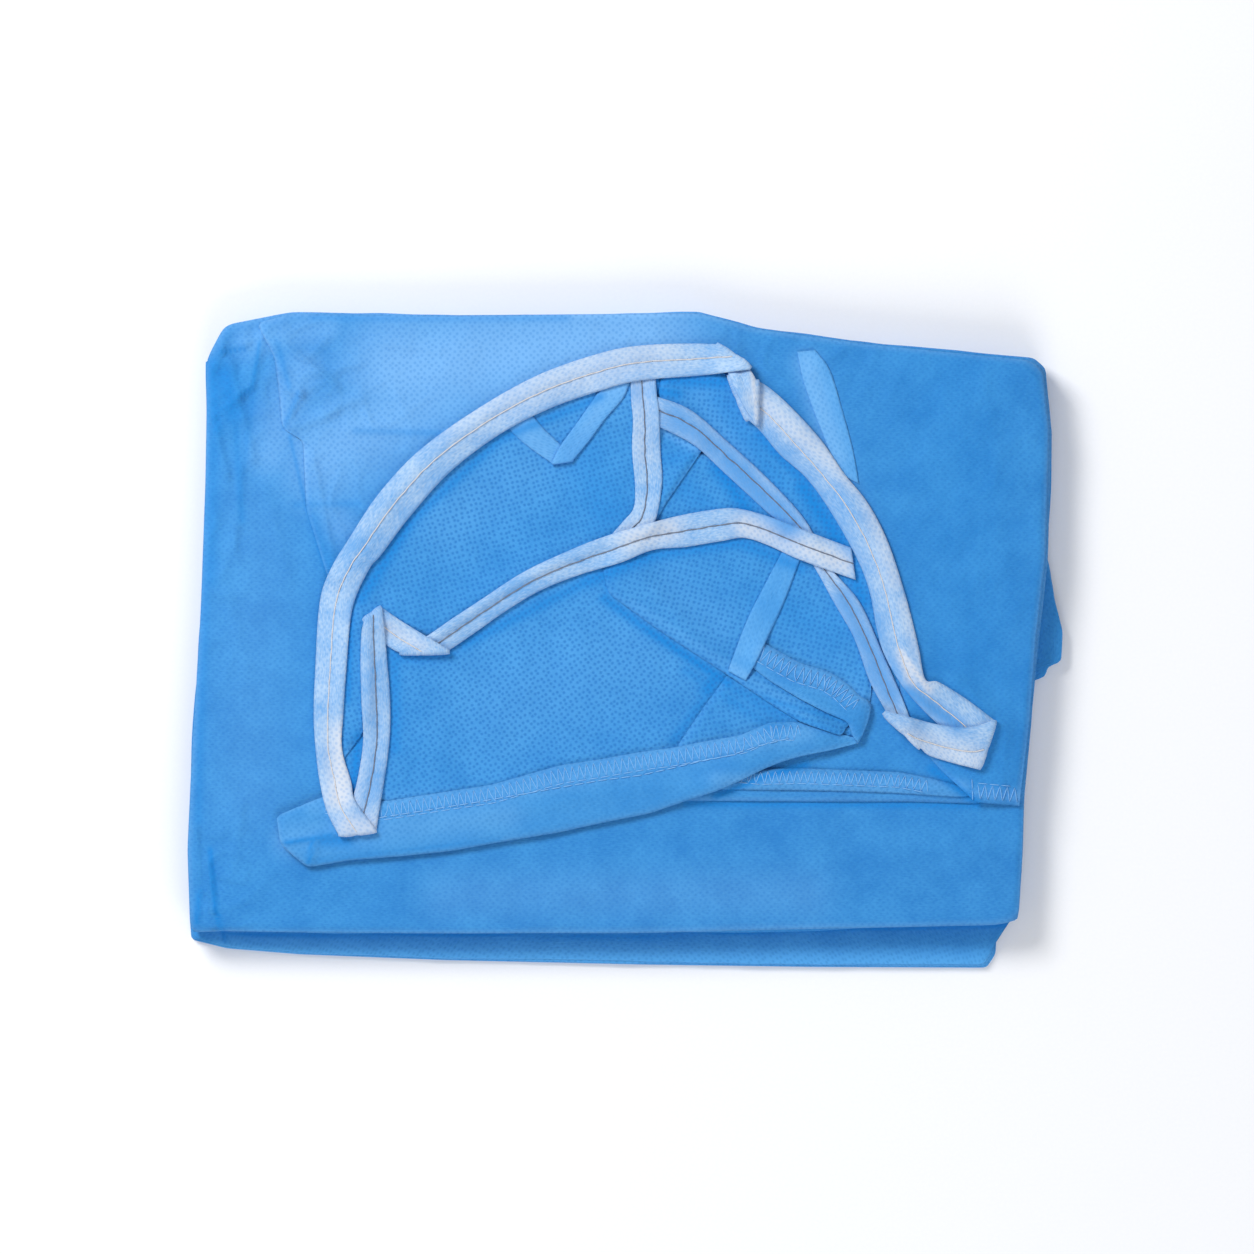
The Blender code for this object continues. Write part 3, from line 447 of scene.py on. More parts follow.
# Painted shade in the creases, crevices and under the edges.
CLOTH_PAINTED_SHADE = [
    # x0, y0, x1, y1, reach, share
    (10, 86.5, 32, 86, 3, 0.9),
    (11, 83, 17, 82, 2.5, 0.9),
    (31, 57, 40, 44, 3.2, 0.95),
    (44, 68, 60, 52, 2.2, 0.75),
    (59, 51, 71, 33, 3.6, 1),
    (71, 33, 79, 13, 2.8, 0.9),
    (-8.5, 81, -42, 67, 1.8, 0.7),
    (-42, 67, -72, 39, 1.8, 0.7),
    (-72, 39, -88, 14, 2.2, 0.8),
    (-91.5, 8, -92.5, -20, 1.3, 0.7),
    (-89, -32, -91, -50, 1.8, 0.9),
    (-77, -5, -77, -36, 2.2, 0.6),
    (-77, -6, -58, -5, 1.8, 0.6),
    (-54, -1.5, -14, 19, 2, 0.7),
    (-14, 19, 8, 28, 2.4, 0.8),
    (8, 28, 38, 32.5, 2.2, 0.7),
    (38, 32.5, 58, 24, 2.4, 0.7),
    (-101, -66.5, -93, -66.5, 2.6, 0.8),
    (-106, -74, -42, -66.5, 0.9, 0.4),
    (30, -52, 46, -45.5, 1.3, 0.9),
    (46, -45.5, 60, -41.5, 1.3, 0.9),
    (20, -54.6, 116, -55.2, 1.1, 0.8),
    (102, -43, 117, -54.5, 2, 0.95),
    (36, -17, 74, -27, 1.2, 0.5),
    (20, -10, 50, -30, 2, 0.45),
    (-7.2, 13.9, 6.8, 3.6, 1.9, 0.85),
    (6.8, 3.6, 34, -14.4, 1.9, 0.95),
    (29.5, -13, 27.5, -16.5, 3.2, 0.9),
    (28.5, -16.5, 16, -33.5, 1.8, 0.55),
    (34, -15, 52, -27, 2.4, 0.4),
    (-7.5, 24, -6.5, 15, 1.2, 0.5),
    (46, -22, 70, -31, 1.4, 0.5),
    (12, 60, 34, 62, 2.4, 0.3),
    (-133.5, -98.6, 4, -98.9, 0.6, 0.9),
    (4, -98.9, 130, -95.6, 0.6, 0.9),
    (30, 80, 52, 52, 4, 0.4),
    (-14, 62, -7, 42, 9, 0.35),
    (46, 12, 70, 4, 6, 0.25),
    (20, 50, 30, 42, 4, 0.3),
    (112, 85, 118, -40, 26, 0.22),
    (-90, 69.6, -62, 68.9, 1.1, 0.4),
    (-110, 45.2, -89, 45.4, 1.1, 0.35),
    (-138, 92, -136.5, 70, 2.5, 0.6),
    (-140, 50, -142.5, -60, 1.8, 0.35),
    (-104, 107.6, -20, 107.4, 1.5, 0.35),
    (-116, 99, -112, 84, 1, 0.4),
    (-128, 55, -124, 84, 1.3, 0.3),
    (-134, 88, -131, 76, 4.5, 0.6),
    (-137.5, 66, -138.5, 20, 2.5, 0.35),
    (-104, 40, -98, 22, 3, 0.3),
    (-138.6, -70, -136.6, -90, 0.9, 0.9),
    (-136.6, -90, -134.3, -100, 0.9, 1),
    (-142, -84, -143.5, -95, 0.9, 0.7),
    (-134.5, 96, -127, 97.3, 0.8, 0.6),
    (-138.5, 74, -124.5, 84, 1, 0.7),
    (-124.5, 84, -122, 99, 0.8, 0.6),
    (-114, 70.5, -109, 82, 0.8, 0.5),
    (-130, 72, -128, 40, 1.4, 0.4),
    (-112, 68, -106.5, 44, 0.7, 0.5),
    (-106.5, 44, -100, 22, 0.7, 0.5),
    (-113, -67.5, -98, -65, 1, 0.85),
    (-104.2, -66, -105.6, -74, 0.9, 0.8),
    (88, -20, 96, -32, 1.6, 0.7),
]

# Each slot's lines of paleness with painted light, then of painted shade.
SHARE_LINES = {"gown_cloth": (CLOTH_DOUBLED_AND_PAINTED_LIGHT, CLOTH_PAINTED_SHADE), "binding_tape": (TAPE_PALE, TAPE_SHOW_THROUGH_AND_PAINTED_SHADE)}

# Soft ridges pressed into the cloth by the folds beneath: both ends, half width and height.
BODY_RIDGES = [
    # x0, y0, x1, y1, half width, height
    (-138.9, -74, -137.6, -90, 0.8, 1.7),
    (-137.6, -90, -135.9, -97.5, 0.8, 1.7),
    (-143.5, -62, -141.5, -84, 0.8, 1.2),
    (-141.5, -84, -144, -96, 0.8, 1),
    (-136, 104, -134.3, 96.7, 0.8, 1),
    (-134.3, 96.7, -138, 90, 0.8, 1.1),
    (-134.3, 96.7, -127, 98.3, 0.9, 0.9),
    (-127, 98.3, -119, 103, 1, 0.8),
    (-138, 74, -124.3, 85, 1, 1.2),
    (-124.3, 85, -121.3, 100, 1, 1),
    (-137.5, 74, -133, 55, 1.2, 0.9),
    (-128, -54, -131, -78, 1.6, 0.5),
    (-132, 92, -124, 60, 1.4, 0.9),
    (-136, 70, -127, 88, 1.2, 0.7),
    (-128, 58, -131, 30, 1.6, 0.6),
    (-120, 50, -112, 20, 2.2, 0.5),
    (-134, 20, -126, -10, 2.4, 0.5),
    (-138, -40, -128, -62, 2.4, 0.4),
]
LEFT_HEM_RIDGES = [
    # x0, y0, x1, y1, half width, height
    (-115, -67.6, -96, -64.4, 0.8, 1),
    (-105.2, -75.2, -103, -66.5, 0.8, 1),
    (-60, -60, 20, -47, 2.6, 0.4),
]
SHOULDER_RIDGES = [
    # x0, y0, x1, y1, half width, height
    (-92, 70, -58.7, 68.3, 2, 0.6),
    (-112, 46.7, -86, 43.3, 1.8, 0.6),
    (-110, 96, -96, 84, 1.3, 0.8),
    (-104, 88, -88, 92, 1.2, 0.6),
    (-84, 100, -62, 96, 1.6, 0.5),
    (-114, 84, -108, 82, 0.9, 1),
    (-108, 82, -114, 70.5, 0.9, 1),
    (-108, 82, -100, 86, 1, 0.9),
    (-113, 70, -96, 76, 1.1, 0.8),
    (-100, 76, -88, 80, 1.3, 0.6),
    (-104, 60, -98, 30, 1.3, 0.6),
]

# Crumpled places.
BODY_CRUMPLES = [
    # x, y, reach x, reach y, height, wavelength
    (-130, 90, 16, 26, 1.3, 15),
    (-136, 30, 9, 45, 0.8, 18),
    (-134, -80, 12, 22, 0.9, 17),
    (138, 30, 7, 60, 0.5, 21),
]
SHOULDER_CRUMPLES = [
    # x, y, reach x, reach y, height, wavelength
    (-108, 92, 16, 18, 1.2, 15),
    (-85, 72, 24, 16, 0.7, 19),
    (-95, 40, 14, 20, 0.6, 22),
    (60, 96, 45, 14, 0.6, 23),
    (120, 60, 30, 50, 0.35, 34),
]


def running_length(line):
    """How far along the line each of its points lies."""
    return np.concatenate([[0.0], np.cumsum(np.linalg.norm(np.diff(line, axis=0), axis=1))])


def line_length(line):
    return np.linalg.norm(np.diff(np.asarray(line, float), axis=0), axis=1).sum()


def closed_up(line):
    """The line with its first point again at its end."""
    return np.vstack([line, line[:1]])


def there_and_back(there, back):
    """Rows that run across one grid and back across the other."""
    return np.concatenate([there, back[:, ::-1]], axis=1)


def resampled(line, count):
    """The line at `count` points, evenly spaced by length: x and y interpolated on the running length."""
    line = np.asarray(line, float)
    length = running_length(line)
    at = np.linspace(0.0, length[-1], count)
    return np.column_stack([np.interp(at, length, line[:, k]) for k in range(line.shape[1])])


def bell_mean(before, fine, after, reach):
    """Each point's mean with its neighbours over a bell curve, the line being lengthened for it."""
    size = len(before)
    bell = np.exp(-0.5 * (np.arange(-size, size + 1) * LINE_STEP / reach) ** 2)
    padded = np.concatenate([before, fine, after])
    bell = bell / bell.sum()
    return np.column_stack([np.convolve(padded[:, k], bell, "valid") for k in range(fine.shape[1])])


def softened(line, reach):
    """The line with its corners rounded: resampled finely, then averaged over a bell curve of that reach."""
    fine = resampled(line, max(4, int(line_length(line) / LINE_STEP)))
    size = min(int(3 * reach / LINE_STEP), len(fine) - 2)
    return bell_mean(2 * fine[0] - fine[size:0:-1], fine, 2 * fine[-1] - fine[-2 : -size - 2 : -1], reach)


def softened_ring(ring, reach):
    """A closed line softened likewise, each end lengthened by the other."""
    ring = closed_up(ring)
    fine = resampled(ring, int(line_length(ring) / LINE_STEP) + 1)[:-1]
    size = int(3 * reach / LINE_STEP)
    return bell_mean(fine[-size:], fine, fine[:size], reach)


def waves(x, y, length, seed):
    """Smooth noise of about that wavelength, near -1 to 1: a sum of sine waves in seeded directions."""
    rng = np.random.default_rng(seed)
    total = np.zeros(np.broadcast(x, y).shape)
    turns = rng.uniform(0, np.pi, WAVE_COUNT)
    phases = rng.uniform(0, 6.28, WAVE_COUNT)
    stretches = rng.uniform(0.7, 1.5, WAVE_COUNT)
    for turn, phase, stretch in zip(turns, phases, stretches):
        total += np.sin((x * np.cos(turn) + y * np.sin(turn)) * FULL_TURN * stretch / length + phase)
    return total / WAVE_SCALE


def crumple(x, y, length, seed):
    """Sharp little ridges, 0 to about 1: one minus the size of the noise, cubed."""
    return np.clip(1.0 - np.abs(waves(x, y, length, seed)), 0.0, 1.0) ** 3


def bump_at(x, y, centre_x, centre_y, reach_x, reach_y):
    """1 at the centre, falling off as a bell curve."""
    return np.exp(-(((x - centre_x) / reach_x) ** 2) - ((y - centre_y) / reach_y) ** 2)


def ridges(x, y, table, joined=np.add):
    """Soft ridges joined into one field: height times a bell curve of the distance from each line."""
    total = np.zeros(np.shape(x))
    for x0, y0, x1, y1, width, height in table:
        run = np.hypot(x1 - x0, y1 - y0)
        share = np.clip(((x - x0) * (x1 - x0) + (y - y0) * (y1 - y0)) / run**2, 0.0, 1.0)
        away = np.hypot(x - x0 - share * (x1 - x0), y - y0 - share * (y1 - y0))
        total = joined(total, height * np.exp(-((away / width) ** 2)))
    return total


def neighbour_sum(values):
    """Each cell plus its four neighbours."""
    padded = np.pad(values, 1)
    return values + padded[2:, 1:-1] + padded[:-2, 1:-1] + padded[1:-1, 2:] + padded[1:-1, :-2]


def within(loop):
    """Which cells of the grid lie in the closed outline: an odd number of its sides lies to their right."""
    loop = closed_up(loop)
    x0, y0, x1, y1 = loop[:-1, 0, None], loop[:-1, 1, None], loop[1:, 0, None], loop[1:, 1, None]
    level = np.abs(y1 - y0) < 1e-9
    crossing = ((y0 > ys) != (y1 > ys)) & ~level
    at = x0 + (ys - y0) * (x1 - x0) / np.where(level, 1.0, y1 - y0)
    return (crossing[None] & (xs[:, None, None] < at[None])).sum(axis=1) % 2 == 1


def inner_share(mask, passes):
    """0 on the outline's edge, rising to 1 inside: the mask blurred by repeated averaging, then stretched."""
    blurred = mask.astype(float)
    for _ in range(passes):
        blurred = neighbour_sum(blurred) / 5.0
    share = np.clip(2.0 * blurred - 1.0, 0.0, 1.0)
    return share * share * (3.0 - 2.0 * share)


def sampled(field, x, y):
    """The field between its grid points: the mean of the four corners, weighted by nearness."""
    u = (x - xs[0]) / GRID
    v = (y - ys[0]) / GRID
    i = np.clip(u.astype(int), 0, len(xs) - 2)
    j = np.clip(v.astype(int), 0, len(ys) - 2)
    u, v = u - i, v - j
    near = field[i, j] * (1 - v) + field[i, j + 1] * v
    far = field[i + 1, j] * (1 - v) + field[i + 1, j + 1] * v
    return near * (1 - u) + far * u


class Pile:
    """The height of everything laid so far, over the whole grid."""

    def __init__(self, height):
        self.height = height

    def lay(self, loop, thickness, edge, passes=70, edge_passes=9, relief=0.0):
        """Lays a piece of that outline and returns its underside and its top as fields.

        The underside is the pile raised to the mean of its neighbours again and again, so that it spans the
        steps. The top is `edge` above it along the outline and `thickness` above it inside.
        """
        mask = within(loop)
        weight = mask.astype(float)
        counts = np.maximum(neighbour_sum(weight), 1.0)
        under = self.height.copy()
        for _ in range(passes):
            under = np.maximum(self.height, neighbour_sum(under * weight) / counts)
        share = inner_share(mask, edge_passes)
        top = under + edge + (thickness - edge) * share + relief * share
        covered = np.where(mask, top + GAP, -np.inf)
        padded = np.pad(covered, 1, constant_values=-np.inf)
        along_x = np.maximum(padded[2:, 1:-1], padded[:-2, 1:-1])
        along_y = np.maximum(padded[1:-1, 2:], padded[1:-1, :-2])
        self.height = np.max([self.height, covered, along_x, along_y], axis=0)
        return under, top


def stack_top(x, y):
    """Top of the hidden plies: crowned from the edge by 1 - (1 - s)^2, and dipped in the neck opening."""
    rise = np.clip(np.minimum(HALF_LENGTH - np.abs(x), HALF_WIDTH - np.abs(y)) / CROWN_RUN, 0.0, 1.0)
    across = np.hypot((x - NECK_X) / NECK_REACH_X, (y - NECK_Y) / NECK_REACH_Y)
    dip = np.clip((1.0 - across) / NECK_SLOPE, 0.0, 1.0)
    return STACK_TOP + CROWN_RISE * rise * (2.0 - rise) - NECK_DIP * dip * dip * (3.0 - 2.0 * dip)


def strip_faces(ids, closed):
    """Faces between neighbouring rows of a grid of corner numbers, and from the last row to the first."""
    after = np.roll(ids, -1, axis=0) if closed else ids[1:]
    before = ids if closed else ids[:-1]
    return np.stack([before[:, :-1], after[:, :-1], after[:, 1:], before[:, 1:]], axis=-1).reshape(-1, 4)


def outward(points, faces):
    """The faces, turned round where the volume within, a sixth of the sum of a . (b x c), is negative."""
    a, b, c, d = (points[faces[:, k]] for k in range(4))
    volume = (np.einsum("ij,ij->i", a, np.cross(b, c)) + np.einsum("ij,ij->i", a, np.cross(c, d))).sum()
    return faces[:, ::-1] if volume < 0.0 else faces


def add_mesh(name, points, faces, finish, cloth_place=None):
    """A smooth mesh from points in millimetres and faces of four corners, its cloth coordinates a UV map."""
    points, faces = np.asarray(points, float), np.asarray(faces, np.int32)
    mesh = bpy.data.meshes.new(name)
    mesh.vertices.add(len(points))
    mesh.vertices.foreach_set("co", (points * MM).ravel())
    mesh.loops.add(faces.size)
    mesh.loops.foreach_set("vertex_index", faces.ravel())
    mesh.polygons.add(len(faces))
    mesh.polygons.foreach_set("loop_start", np.arange(len(faces), dtype=np.int32) * 4)
    mesh.polygons.foreach_set("use_smooth", np.ones(len(faces), bool))
    if cloth_place is not None:
        layer = mesh.uv_layers.new(name="cloth")
        layer.uv.foreach_set("vector", np.asarray(cloth_place, float)[faces.ravel()].ravel())
    mesh.update(calc_edges=True)
    mesh.validate()
    mesh.materials.append(finish)
    obj = bpy.data.objects.new(name, mesh)
    bpy.context.scene.collection.objects.link(obj)
    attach(obj, "root")
    return obj


def add_closed_skin(name, rings, finish, place, endless=False):
    """A closed mesh over a chain of rings: faces from ring to ring, then a cap across each end ring.

    An endless chain has none: its last ring joins its first.
    """
    rows, columns = rings.shape[:2]
    ids = np.arange(rows * columns).reshape(rows, columns)
    faces = [strip_faces(np.column_stack([ids, ids[:, :1]]), endless)]
    half = columns // 2
    for row, flip in () if endless else ((0, False), (rows - 1, True)):
        cap = strip_faces(np.stack([ids[row, :half], ids[row, ::-1][:half]], axis=1), False)
        faces.append(cap[:, ::-1] if flip else cap)
    points = rings.reshape(-1, 3)
    return add_mesh(name, points, outward(points, np.concatenate(faces)), finish, place.reshape(-1, 2))


def add_threads(name, paths, radius, finish, sides=6):
    """Round threads along many paths at once: circles square to the path, closed at the ends.

    paths is an array of thread by point by x, y, z.
    """
    tangent = np.gradient(paths, axis=1)
    tangent /= np.linalg.norm(tangent, axis=2, keepdims=True)
    side = np.cross(tangent, (0.0, 0.0, 1.0))
    side /= np.linalg.norm(side, axis=2, keepdims=True)
    up = np.cross(side, tangent)
    turn = np.linspace(0.0, 2 * np.pi, sides, endpoint=False)
    girth = np.full(paths.shape[1], radius)
    girth[[0, -1]] = THREAD_TIP * radius
    ring = np.cos(turn)[:, None] * side[:, :, None] + np.sin(turn)[:, None] * up[:, :, None]
    points = (paths[:, :, None] + ring * girth[None, :, None, None]).reshape(-1, 3)
    threads, rows = paths.shape[:2]
    ids = np.arange(threads * rows * sides).reshape(threads, rows, sides)
    after = np.roll(ids, -1, axis=2)
    faces = np.stack([ids[:, :-1], after[:, :-1], after[:, 1:], ids[:, 1:]], axis=-1).reshape(-1, 4)
    first, last = ids[:, 0], ids[:, -1]
    ends = [last[:, [0, 1, 2, 3]], last[:, [0, 3, 4, 5]], first[:, [3, 2, 1, 0]], first[:, [5, 4, 3, 0]]]
    return add_mesh(name, points, outward(points, np.concatenate([faces] + ends)), finish)


def turned(x, y, angle):
    """Flat coordinates turned by an angle, so that each panel's pattern lies its own way."""
    return np.stack([x * np.cos(angle) - y * np.sin(angle), x * np.sin(angle) + y * np.cos(angle)], axis=-1)


def panel_relief(name, ridge_table, crumple_table):
    """What stands out of a panel: waves of slack, its ridges and its crumpled places, added up."""
    relief = 0.0
    for k, (height, length) in enumerate(SLACK):
        relief = relief + height * waves(GRID_X, GRID_Y, length, (k + 1) * len(name))
    relief += ridges(GRID_X, GRID_Y, ridge_table)
    for x, y, reach_x, reach_y, height, length in crumple_table:
        place = height * bump_at(GRID_X, GRID_Y, x, y, reach_x, reach_y)
        relief += place * crumple(GRID_X, GRID_Y, length, int(length))
    return relief


def panel(name, edges, pile, finish, angle, ridge_table, crumple_table, ring):
    """A sheet ruled between two edges: point = (1 - v) one + v two, at the height of the pile there."""
    soften = softened_ring if ring else softened
    lines = [soften(np.asarray(line, float), CORNER) for line in edges]
    rows = int(max(line_length(line) for line in lines) / PITCH)
    if ring:
        lines = [closed_up(line) for line in lines]
    one, two = (resampled(line, rows + ring)[:rows] for line in lines)
    apart = np.linalg.norm(one - two, axis=1)
    v = np.linspace(0.0, 1.0, int(apart.max() / PITCH) + 2)[None, :, None]
    flat = (1.0 - v) * one[:, None] + v * two[:, None]
    if ring:
        loop = resampled(closed_up(one), RING_POINTS)[:-1]
    else:
        loop = np.concatenate([resampled(one, rows // 3), resampled(two, rows // 3)[::-1]])
    _, top = pile.lay(loop, LAYER, EDGE_THICKNESS, relief=panel_relief(name, ridge_table, crumple_table))
    height = sampled(top, flat[..., 0], flat[..., 1])
    points = np.concatenate([flat, height[..., None]], axis=-1)
    away = np.minimum(v, 1.0 - v)[..., 0] * apart[:, None]
    rim = RIM_SHARE * np.exp(-((away / RIM_WIDTH) ** 2))
    place = turned(flat[..., 0], flat[..., 1], angle)
    skin = there_and_back(points, points - (0.0, 0.0, CLOTH))
    obj = add_closed_skin(name + "_cloth", skin, finish, there_and_back(place, place), ring)
    dress(obj, name, rim=there_and_back(rim, rim).ravel())
    return obj, points


def along(rows, pitch):
    """The tape's two edges at even steps: a Catmull-Rom curve through the rows of one run."""
    rows = np.array(rows, float)
    ghost = np.vstack([2 * rows[0] - rows[1], rows, 2 * rows[-1] - rows[-2]])
    t = np.linspace(0.0, 1.0, 24, endpoint=False)[:, None]
    out = []
    for p0, p1, p2, p3 in zip(ghost, ghost[1:], ghost[2:], ghost[3:]):
        cubic = (3 * p1 - p0 - 3 * p2 + p3) * t**3
        out.append(0.5 * (2 * p1 + (p2 - p0) * t + (2 * p0 - 5 * p1 + 4 * p2 - p3) * t**2 + cubic))
    fine = np.vstack(out + [rows[-1:]])
    reach = max(line_length(fine[:, :2]), line_length(fine[:, 2:]))
    return resampled(fine, max(4, int(reach / pitch)))


def tape_width(edges):
    return np.linalg.norm(edges[:, :2] - edges[:, 2:], axis=1)


def tape_run(rows, pile, thickness, seam=None):
    """One run of tape on the pile: its underside and its top as grids of points, along by across.

    Across, the top is thickness (0.6 + 0.4 (1 - s^6)) high, s from -1 to 1, less a groove along the seam.
    """
    edges = along(rows, TAPE_PITCH)
    v = np.linspace(0.0, 1.0, TAPE_POINTS)
    flat = (1.0 - v)[None, :, None] * edges[:, None, :2] + v[None, :, None] * edges[:, None, 2:]
    loop = np.concatenate([edges[::2, :2], edges[::-2, 2:]])
    under, _ = pile.lay(loop, thickness, TAPE_EDGE * thickness, passes=30, edge_passes=3)
    low = sampled(under, flat[..., 0], flat[..., 1])
    for _ in range(TAPE_EASING):
        ends = np.vstack([low[:1], low, low[-1:]])
        low = np.maximum(low, (ends[:-2] + ends[1:-1] + ends[2:]) / 3)
    s = 2.0 * v - 1.0
    crown = thickness * (TAPE_EDGE + (1.0 - TAPE_EDGE) * (1.0 - s**6))
    width = tape_width(edges)[:, None]
    run = np.arange(len(edges))[:, None] * TAPE_PITCH
    groove = 0.0
    if seam is not None:
        pucker = 1.0 + PUCKER * np.cos(run * FULL_TURN / (STITCH + STITCH_SPACE))
        groove = GROOVE * thickness * pucker * np.exp(-(((v - seam) * width / GROOVE_REACH) ** 2))
    fuzz = TAPE_FUZZ * waves(run, v[None, :] * width, FUZZ_LENGTH, len(edges))
    high = low + crown - groove + fuzz
    return np.dstack([flat, low]), np.dstack([flat, high]), edges


def crease(low_run, high_run, outward_way):
    """Cross-sections round a fold: outer and inner half circles from the lower run's end to the upper's."""
    (under, over), (under_next, over_next) = low_run, high_run
    sections = []
    for angle in np.linspace(0.0, np.pi, FOLD_STEPS)[1:-1]:
        pair = []
        for start, end in ((under, over_next), (over, under_next)):
            middle = (start + end) / 2
            half = np.maximum(np.abs(end[:, 2:] - start[:, 2:]) / 2, TIGHTEST_FOLD)
            shift = half * outward_way * np.sin(angle)
            lift = -half * np.cos(angle) * np.sign(end[:, 2:] - start[:, 2:])
            pair.append(np.column_stack([middle[:, :2] + shift, middle[:, 2:] + lift]))
        sections.append(pair)
    return sections


def fold_over(run, next_run):
    """The cross-sections between two runs, and whether the tape climbs there."""
    (low, high, edges), (next_low, next_high) = run, (next_run[0][0], next_run[1][0])
    rises = next_low[:, 2].mean() > low[-1][:, 2].mean()
    line = edges[-1, 2:] - edges[-1, :2]
    way = np.array([-line[1], line[0]]) / np.linalg.norm(line)
    if way @ (low[-1].mean(axis=0) - low[-2].mean(axis=0))[:2] < 0:
        way = -way
    here, there = (low[-1], high[-1]), (next_low, next_high)
    return (crease(here, there, way) if rises else crease(there, here, way)[::-1]), rises


def add_tape(name, runs, finish):
    """The tape as one closed mesh: a chain of cross-sections, turned over at each fold."""
    sections, places, upright, travelled = [], [], True, 0.0
    v = np.linspace(0.0, 1.0, TAPE_POINTS)
    for k, (low, high, edges) in enumerate(runs):
        width = tape_width(edges)
        for row in range(len(low)):
            sections.append((low[row], high[row]) if upright else (high[row], low[row]))
            places.append(np.column_stack([np.full(TAPE_POINTS, travelled), v * width[row]]))
            travelled += TAPE_PITCH
        if k + 1 < len(runs):
            turn, rises = fold_over(runs[k], runs[k + 1])
            for outer, inner in turn:
                sections.append((outer, inner) if upright == rises else (inner, outer))
                places.append(places[-1] + (FOLD_PITCH, 0.0))
            upright = not upright
    back = np.array([pair[0] for pair in sections])
    face = np.array([pair[1] for pair in sections])
    place = there_and_back(np.array(places), np.array(places))
    return add_closed_skin(name, there_and_back(back, face), finish, place)


def stitches(line, lift, stitch=STITCH, space=STITCH_SPACE, start=0.0):
    """Short threads along a line: each goes down at both ends, and stands lift sin(pi t)^0.6 out between."""
    count = int((line_length(line) - start) / (stitch + space))
    t = np.linspace(0.0, 1.0, 6)
    length = running_length(line)
    at = start + np.arange(count)[:, None] * (stitch + space) + t[None] * stitch
    paths = np.stack([np.interp(at, length, line[:, k]) for k in range(3)], axis=-1)
    paths[..., 2] += lift * np.sin(np.pi * t) ** 0.6 - 0.55 * lift
    return paths


def lockstitch(line, lift):
    """One thread along a line. It dips at each stitch as lift |sin|^0.5, and wanders on slow waves."""
    line = resampled(line, int(line_length(line) / LOCKSTITCH_STEP))
    run = np.arange(len(line)) * LOCKSTITCH_STEP
    tangent = np.gradient(line, axis=0)
    side = np.column_stack([-tangent[:, 1], tangent[:, 0], 0 * run])
    side /= np.linalg.norm(tangent, axis=1)[:, None]
    path = line + side * (WANDER * waves(run, 0 * run, WANDER_LENGTH, len(line)))[:, None]
    path[:, 2] += lift * (np.abs(np.sin(np.pi * run / (STITCH + STITCH_SPACE))) ** 0.5 - 0.2)
    return path[None]


def on_pile(path, pile, sunk=0.0):
    """The flat path with the pile's height along it, less what it is sunk."""
    return np.column_stack([path, sampled(pile.height, path[:, 0], path[:, 1]) - sunk])


def hem_stitches(name, line, pile, finish):
    """A straight row of stitches on whatever lies on top of the pile along that line."""
    line = resampled(line, max(4, int(line_length(line) / HEM_STEP)))
    return add_threads(name, stitches(on_pile(line, pile), HEM_LIFT), HEM_THREAD, finish)


def overlock(name, line, inward, depth, pile, finish):
    """An overlocked edge: a looper thread that zigzags in and out as a triangle wave, asin(cos), and a needle
    thread along its inner side.

    inward is 1 where the cloth lies to the left of the line, and -1 where it lies to the right.
    """
    line = resampled(line, int(line_length(line) / OVERLOCK_STEP))
    tangent = np.gradient(line, axis=0)
    normal = np.column_stack([-tangent[:, 1], tangent[:, 0]])
    normal *= inward / np.linalg.norm(normal, axis=1, keepdims=True)
    run = np.arange(len(line)) * OVERLOCK_STEP
    sway = 0.5 + np.arcsin(LOOP_POINT * np.cos(run * FULL_TURN / LOOP_PITCH)) / np.pi
    looper = line + normal * (LOOP_MARGIN + (depth - LOOP_MARGIN) * sway)[:, None]
    needle = line + normal * depth
    loops = add_threads(name + "_loops", on_pile(looper, pile, GAP)[None], LOOP_THREAD, finish)
    seam = add_threads(name + "_seam", stitches(on_pile(needle, pile, GAP), LOOP_LIFT), LOOP_THREAD, finish)
    return [loops, seam]


def ply_bands(smooth, run):
    """The packet's side as rings from the bottom up, ply by ply.

    Each ply is a band that stands out most at mid height: out = bulge (sqrt(1 - t^2) - 1), t from -1 to 1.
    """
    heights = np.linspace(0.0, STACK_TOP, PLIES + 1)
    rings, previous = [], None
    for ply, (low, high) in enumerate(zip(heights, heights[1:])):
        middle = (low + high) / 2
        columns = (2, 3) if middle < BOTTOM_PLY_TOP else ((4, 5) if middle < SIDE_PLY_TOP else (0, 1))
        loop = smooth[:, columns]
        radius = np.linalg.norm(loop, axis=1, keepdims=True)
        drift = sum(size * waves(run, 0 * run, length, seed + ply) for size, length, seed in PLY_DRIFT)
        drawn = (PLY_INSET if ply else LOWEST_INSET) + (ODD_PLY_INSET if ply % 2 else 0.0)
        band = []
        for t in np.linspace(-1.0, 1.0, 5):
            bulge = PLY_BULGE * (np.sqrt(1.0 - (0.96 * t) ** 2) - 1.0)
            ring = loop * (1.0 + (bulge - drawn + (drift[:, None] if ply else 0.0)) / radius)
            band.append(np.column_stack([ring, np.full(len(run), middle + 0.49 * (high - low) * t)]))
        if previous not in (None, columns):
            rings += [rings[-1] + share * (band[0] - rings[-1]) for share in LEDGE_SHARES]
        rings += band
        previous = columns
    return rings


